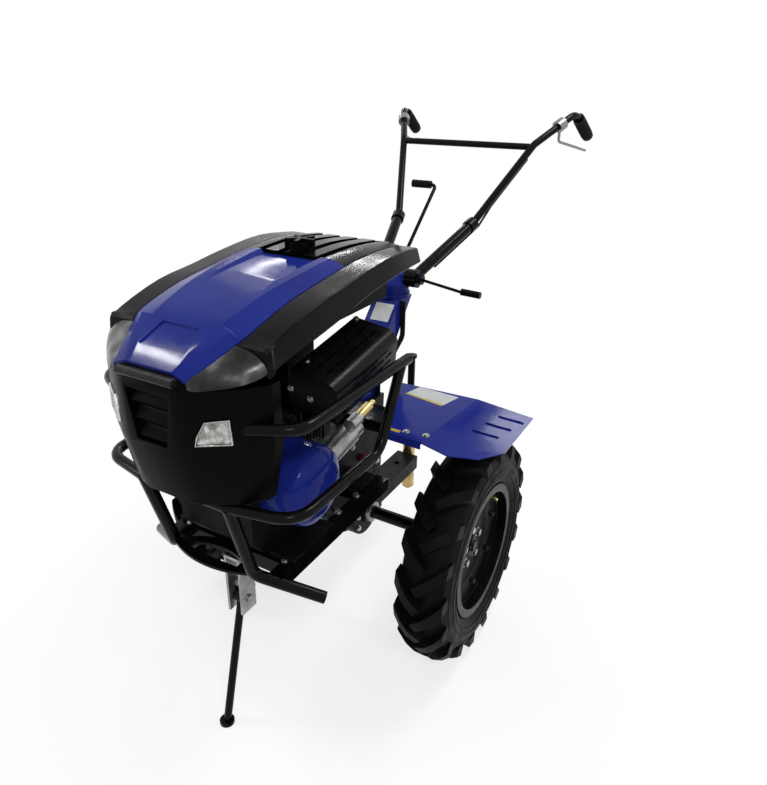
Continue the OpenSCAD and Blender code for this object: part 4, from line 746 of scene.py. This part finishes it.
# bolts: node that carries each one, start of the search and its direction
down, fromLeft, fromFront = (0, 0, -1), (-1, 0, 0), (0, 1, 0)
bolts = {
    "fender": {"sizes": hexHead(0.0062, 0.0045, 0.0085, 0.0014), "bothSides": True, "spots": [
        ("fender_left", (0.236, -0.275, 1.2), down), ("fender_left", (0.283, -0.269, 1.2), down)]},
    "shield": {"sizes": hexHead(0.0052, 0.0046, 0.0072, 0.0012), "bothSides": False, "spots": [
        ("muffler_shield", (0.1055, -0.9, 0.8135), fromFront),
        ("muffler_shield", (0.150, -0.9, 0.800), fromFront),
        ("muffler_shield", (0.1185, -0.299, 1.2), down),
        ("muffler_shield", (0.1221, -0.4885, 1.2), down)]},
    "case": {"sizes": hexHead(0.0062, 0.0055, 0.0082, 0.0014), "bothSides": True, "spots": [
        ("gearbox", (1, y, z), fromLeft) for y, z in (
            (-0.185, 0.29), (-0.1, 0.27), (-0.185, 0.255), (-0.215, 0.42), (-0.09, 0.42), (-0.215, 0.52),
            (-0.09, 0.52), (-0.15, 0.575))]},
    "rails": {"sizes": hexHead(0.0068, 0.0060, 0.0092, 0.0015), "bothSides": True, "spots": [
        ("frame_rails", (0.131, y, 1), down) for y in (-0.32, -0.40, -0.60)]},
}

def setBolts(name, cfg):
    marks = [onSurface(*spot) for spot in cfg["spots"]]
    if cfg["bothSides"]:
        for node, (x, y, z), (dx, dy, dz) in cfg["spots"]:
            marks.append(onSurface(node.replace("left", "right"), (-x, y, z), (-dx, dy, dz)))
    setOnMarks("bolts_" + name, "boltHeads", marks, cfg["sizes"], "chassis", "metal_silver", "zincBolt")

for name, cfg in bolts.items():
    setBolts(name, cfg)
print("bolts set")

# red plugs with a knurled rim
plugTrim = {"radius": 0.011, "height": 0.012, "knurls": 18, "knurlDepth": 0.0012, "sink": 0.001,
            "shoulderShare": 0.8, "topShare": 0.82}
plugSpots = {"sumpPlug": ("engine_block", (0.057, -2, 0.575), fromFront),
             "casePlug": ("gearbox", (1, -0.1676, 0.465), fromLeft)}

def buildPlug(name, spot, cfg):
    bm = bmesh.new()
    rings = []
    shoulder = cfg["height"] * cfg["shoulderShare"]
    for h, share in ((-cfg["sink"], 1), (shoulder, 1), (cfg["height"], cfg["topShare"])):
        ring = []
        for i in range(cfg["knurls"] * 2):
            a = math.pi * i / cfg["knurls"]
            r = (cfg["radius"] - (cfg["knurlDepth"] if i % 2 else 0)) * share
            ring.append(bm.verts.new((r * math.cos(a), r * math.sin(a), h)))
        rings.append(ring)
    for a, b in zip(rings, rings[1:]):
        for i in range(len(a)):
            j = (i + 1) % len(a)
            bm.faces.new((a[i], a[j], b[j], b[i]))
    bm.faces.new(rings[-1])
    bm.faces.new(rings[0][::-1])
    bm.transform(standOn(*onSurface(*spot)))
    addPiece(name, toMesh(bm, name), "chassis", "plastic_black", "redCap")

for name, spot in plugSpots.items():
    buildPlug(name, spot, plugTrim)

# blank plates laid on a surface; edge is the share that takes the second finish
plateLift = 0.0001
plates = {
    "fenderPlate": {
        "node": "fender_left", "ahead": down, "thick": 0.0009, "edge": 0.13,
        "slot": "metal_silver", "finish": ("plateWhite", "plateYellow"),
        "corners": [(0.138, -0.092, 1), (0.248, -0.112, 1), (0.264, -0.044, 1), (0.152, -0.036, 1)]},
    "fenderStrip": {
        "node": "fender_left", "ahead": down, "thick": 0.0008, "edge": 0,
        "slot": "metal_brass", "finish": ("plateYellow",),
        "corners": [(0.196, -0.2865, 1), (0.224, -0.2875, 1), (0.224, -0.2765, 1), (0.196, -0.2755, 1)]},
    "columnPlate": {
        "node": "column", "ahead": fromFront, "thick": 0.0009, "edge": 0,
        "slot": "metal_silver", "finish": ("plateWhite",),
        "corners": [(-0.024, -1, 0.784), (0.030, -1, 0.784), (0.030, -1, 0.822), (-0.024, -1, 0.822)]},
}

def layPlate(name, cfg):
    feet = [onSurface(cfg["node"], corner, cfg["ahead"]) for corner in cfg["corners"]]
    out = sum((normal for _, normal in feet), Vector()).normalized()
    a, b, c, d = (place + out * plateLift for place, _ in feet)
    rim, fields = [a, b, c, d], [((0, 1, 2, 3), 0)]
    if cfg["edge"]:
        rim = [a, b, b.lerp(c, cfg["edge"]), c, d, a.lerp(d, cfg["edge"])]
        fields = [((0, 1, 2, 5), 1), ((5, 2, 3, 4), 0)]
    bm = bmesh.new()
    base = [bm.verts.new(p) for p in rim]
    top = [bm.verts.new(p + out * cfg["thick"]) for p in rim]
    for corners, finish in fields:
        for level in (top, base):
            bm.faces.new([level[k] for k in corners]).material_index = finish
    for i in range(len(rim)):
        j = (i + 1) % len(rim)
        bm.faces.new((base[i], base[j], top[j], top[i])).material_index = fields[-1][1]
    bmesh.ops.recalc_face_normals(bm, faces=bm.faces)
    addPiece(name, toMesh(bm, name), "chassis", cfg["slot"], *cfg["finish"])

for name, cfg in plates.items():
    layPlate(name, cfg)
print("plates laid")

# head lamps in the cowl's pockets: bezel, fluted lens, mirror pan and bulb
lampTrim = {
    "rim": 0.90, "rings": 10, "edgeSteps": 8, "wall": 0.0014,
    "lens": {"bulge": 0.0035, "sink": 0.002,
             "flutes": 9, "fluteSpan": 0.06, "fluteDepth": 0.0006, "fluteFade": 4},
    "pan": {"depth": 0.0085, "sink": 0.0035, "curve": 2.4},
    "bezel": {"outer": 0.995, "round": 0.97, "inner": 0.015, "lip": 0.01, "proud": 0.0018, "deep": 0.011},
    "bulb": {"radius": 0.0052, "flat": 0.9, "sink": 0.0075, "around": 20, "rows": 12},
}
lampFace = {"weld": 0.00002, "flatWithin": 2, "forwardY": -0.2}

# outline and direction of a solid lamp's front face, the largest that looks ahead
def lampFront(side, cfg):
    bm = bmesh.new()
    bm.from_mesh(nodes["lamps"].data)
    bmesh.ops.delete(bm, geom=[v for v in bm.verts if v.co.x * side < 0], context="VERTS")
    bmesh.ops.remove_doubles(bm, verts=bm.verts, dist=cfg["weld"])
    flat = math.radians(cfg["flatWithin"])
    bmesh.ops.dissolve_limit(bm, angle_limit=flat, verts=bm.verts, edges=bm.edges)
    face = max((f for f in bm.faces if f.normal.y < cfg["forwardY"]), key=lambda f: f.calc_area())
    ring = [v.co.copy() for v in face.verts]
    out = face.normal.copy()
    bm.free()
    return ring, out

# dished sheet inside a ring, given its wall
def dish(name, ring, middle, out, lift, cfg):
    edge = []
    for p, q in zip(ring, ring[1:] + ring[:1]):
        edge += [p.lerp(q, k / cfg["edgeSteps"]) for k in range(cfg["edgeSteps"])]
    bm = bmesh.new()
    loops = [[bm.verts.new(lift(middle, 0))]]
    for k in range(1, cfg["rings"] + 1):
        s = k / cfg["rings"]
        loops.append([bm.verts.new(lift(middle.lerp(p, s), s)) for p in edge])
    for a, b in zip(loops, loops[1:]):
        for i in range(len(edge)):
            j = (i + 1) % len(edge)
            bm.faces.new((a[0], b[i], b[j]) if len(a) == 1 else (a[i], b[i], b[j], a[j]))
    bmesh.ops.recalc_face_normals(bm, faces=bm.faces)
    if sum((f.normal for f in bm.faces), Vector()).dot(out) < 0:
        bmesh.ops.reverse_faces(bm, faces=bm.faces)
    bmesh.ops.solidify(bm, geom=list(bm.faces), thickness=cfg["wall"])
    for f in bm.faces:
        f.smooth = True
    return toMesh(bm, name)

def bezelMesh(name, ring, middle, out, rim, cfg):
    bm = bmesh.new()
    profile = ((cfg["outer"], -cfg["deep"]), (cfg["outer"], 0), (cfg["round"], cfg["proud"]),
               (rim + cfg["inner"], cfg["proud"]), (rim - cfg["lip"], 0), (rim - cfg["lip"], -cfg["deep"]))
    rows = [[bm.verts.new(middle.lerp(p, s) + out * h) for p in ring] for s, h in profile]
    for a, b in zip(rows, rows[1:] + rows[:1]):
        for i in range(len(ring)):
            j = (i + 1) % len(ring)
            bm.faces.new((a[i], a[j], b[j], b[i]))
    bmesh.ops.recalc_face_normals(bm, faces=bm.faces)
    return toMesh(bm, name)

def bulbMesh(name, middle, out, cfg):
    bm = bmesh.new()
    bmesh.ops.create_uvsphere(bm, u_segments=cfg["around"], v_segments=cfg["rows"], radius=cfg["radius"])
    bmesh.ops.scale(bm, vec=(1, 1, cfg["flat"]), verts=bm.verts)
    bm.transform(standOn(middle - out * cfg["sink"], out))
    for f in bm.faces:
        f.smooth = True
    return toMesh(bm, name)

def buildLamp(side, cfg):
    word = "left" if side > 0 else "right"
    ring, out = lampFront(side, lampFace)
    middle = sum(ring, Vector()) / len(ring)
    inner = [middle.lerp(p, cfg["rim"]) for p in ring]
    across = out.cross(Vector((0, 0, 1))).normalized()
    lens, pan = cfg["lens"], cfg["pan"]
    def lensLift(p, s):
        wave = math.cos(2 * math.pi * lens["flutes"] * (p - middle).dot(across) / lens["fluteSpan"])
        flute = wave * lens["fluteDepth"] * min(1, lens["fluteFade"] * (1 - s))
        return p + out * (lens["bulge"] * (1 - s * s) - lens["sink"] + flute)
    def panLift(p, s):
        return p - out * (pan["sink"] + pan["depth"] * (1 - s ** pan["curve"]))
    lensMesh = dish("lamp_lens_" + word, inner, middle, out, lensLift, cfg)
    panMesh = dish("lamp_pan_" + word, inner, middle, out, panLift, cfg)
    bezel = bezelMesh("lamp_bezel_" + word, ring, middle, out, cfg["rim"], cfg["bezel"])
    bulb = bulbMesh("lamp_bulb_" + word, middle, out, cfg["bulb"])
    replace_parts(addPiece("lamp_lens_" + word, lensMesh, "chassis", "lens_clear", "clearLens"), "lamps")
    addPiece("lamp_pan_" + word, panMesh, "chassis", "metal_silver", "mirrorPan")
    addPiece("lamp_bezel_" + word, bezel, "chassis", "metal_silver", "chromeBezel")
    addPiece("lamp_bulb_" + word, bulb, "chassis", "lens_clear", "plateWhite")

for side in (1, -1):
    buildLamp(side, lampTrim)
print("lamps built")
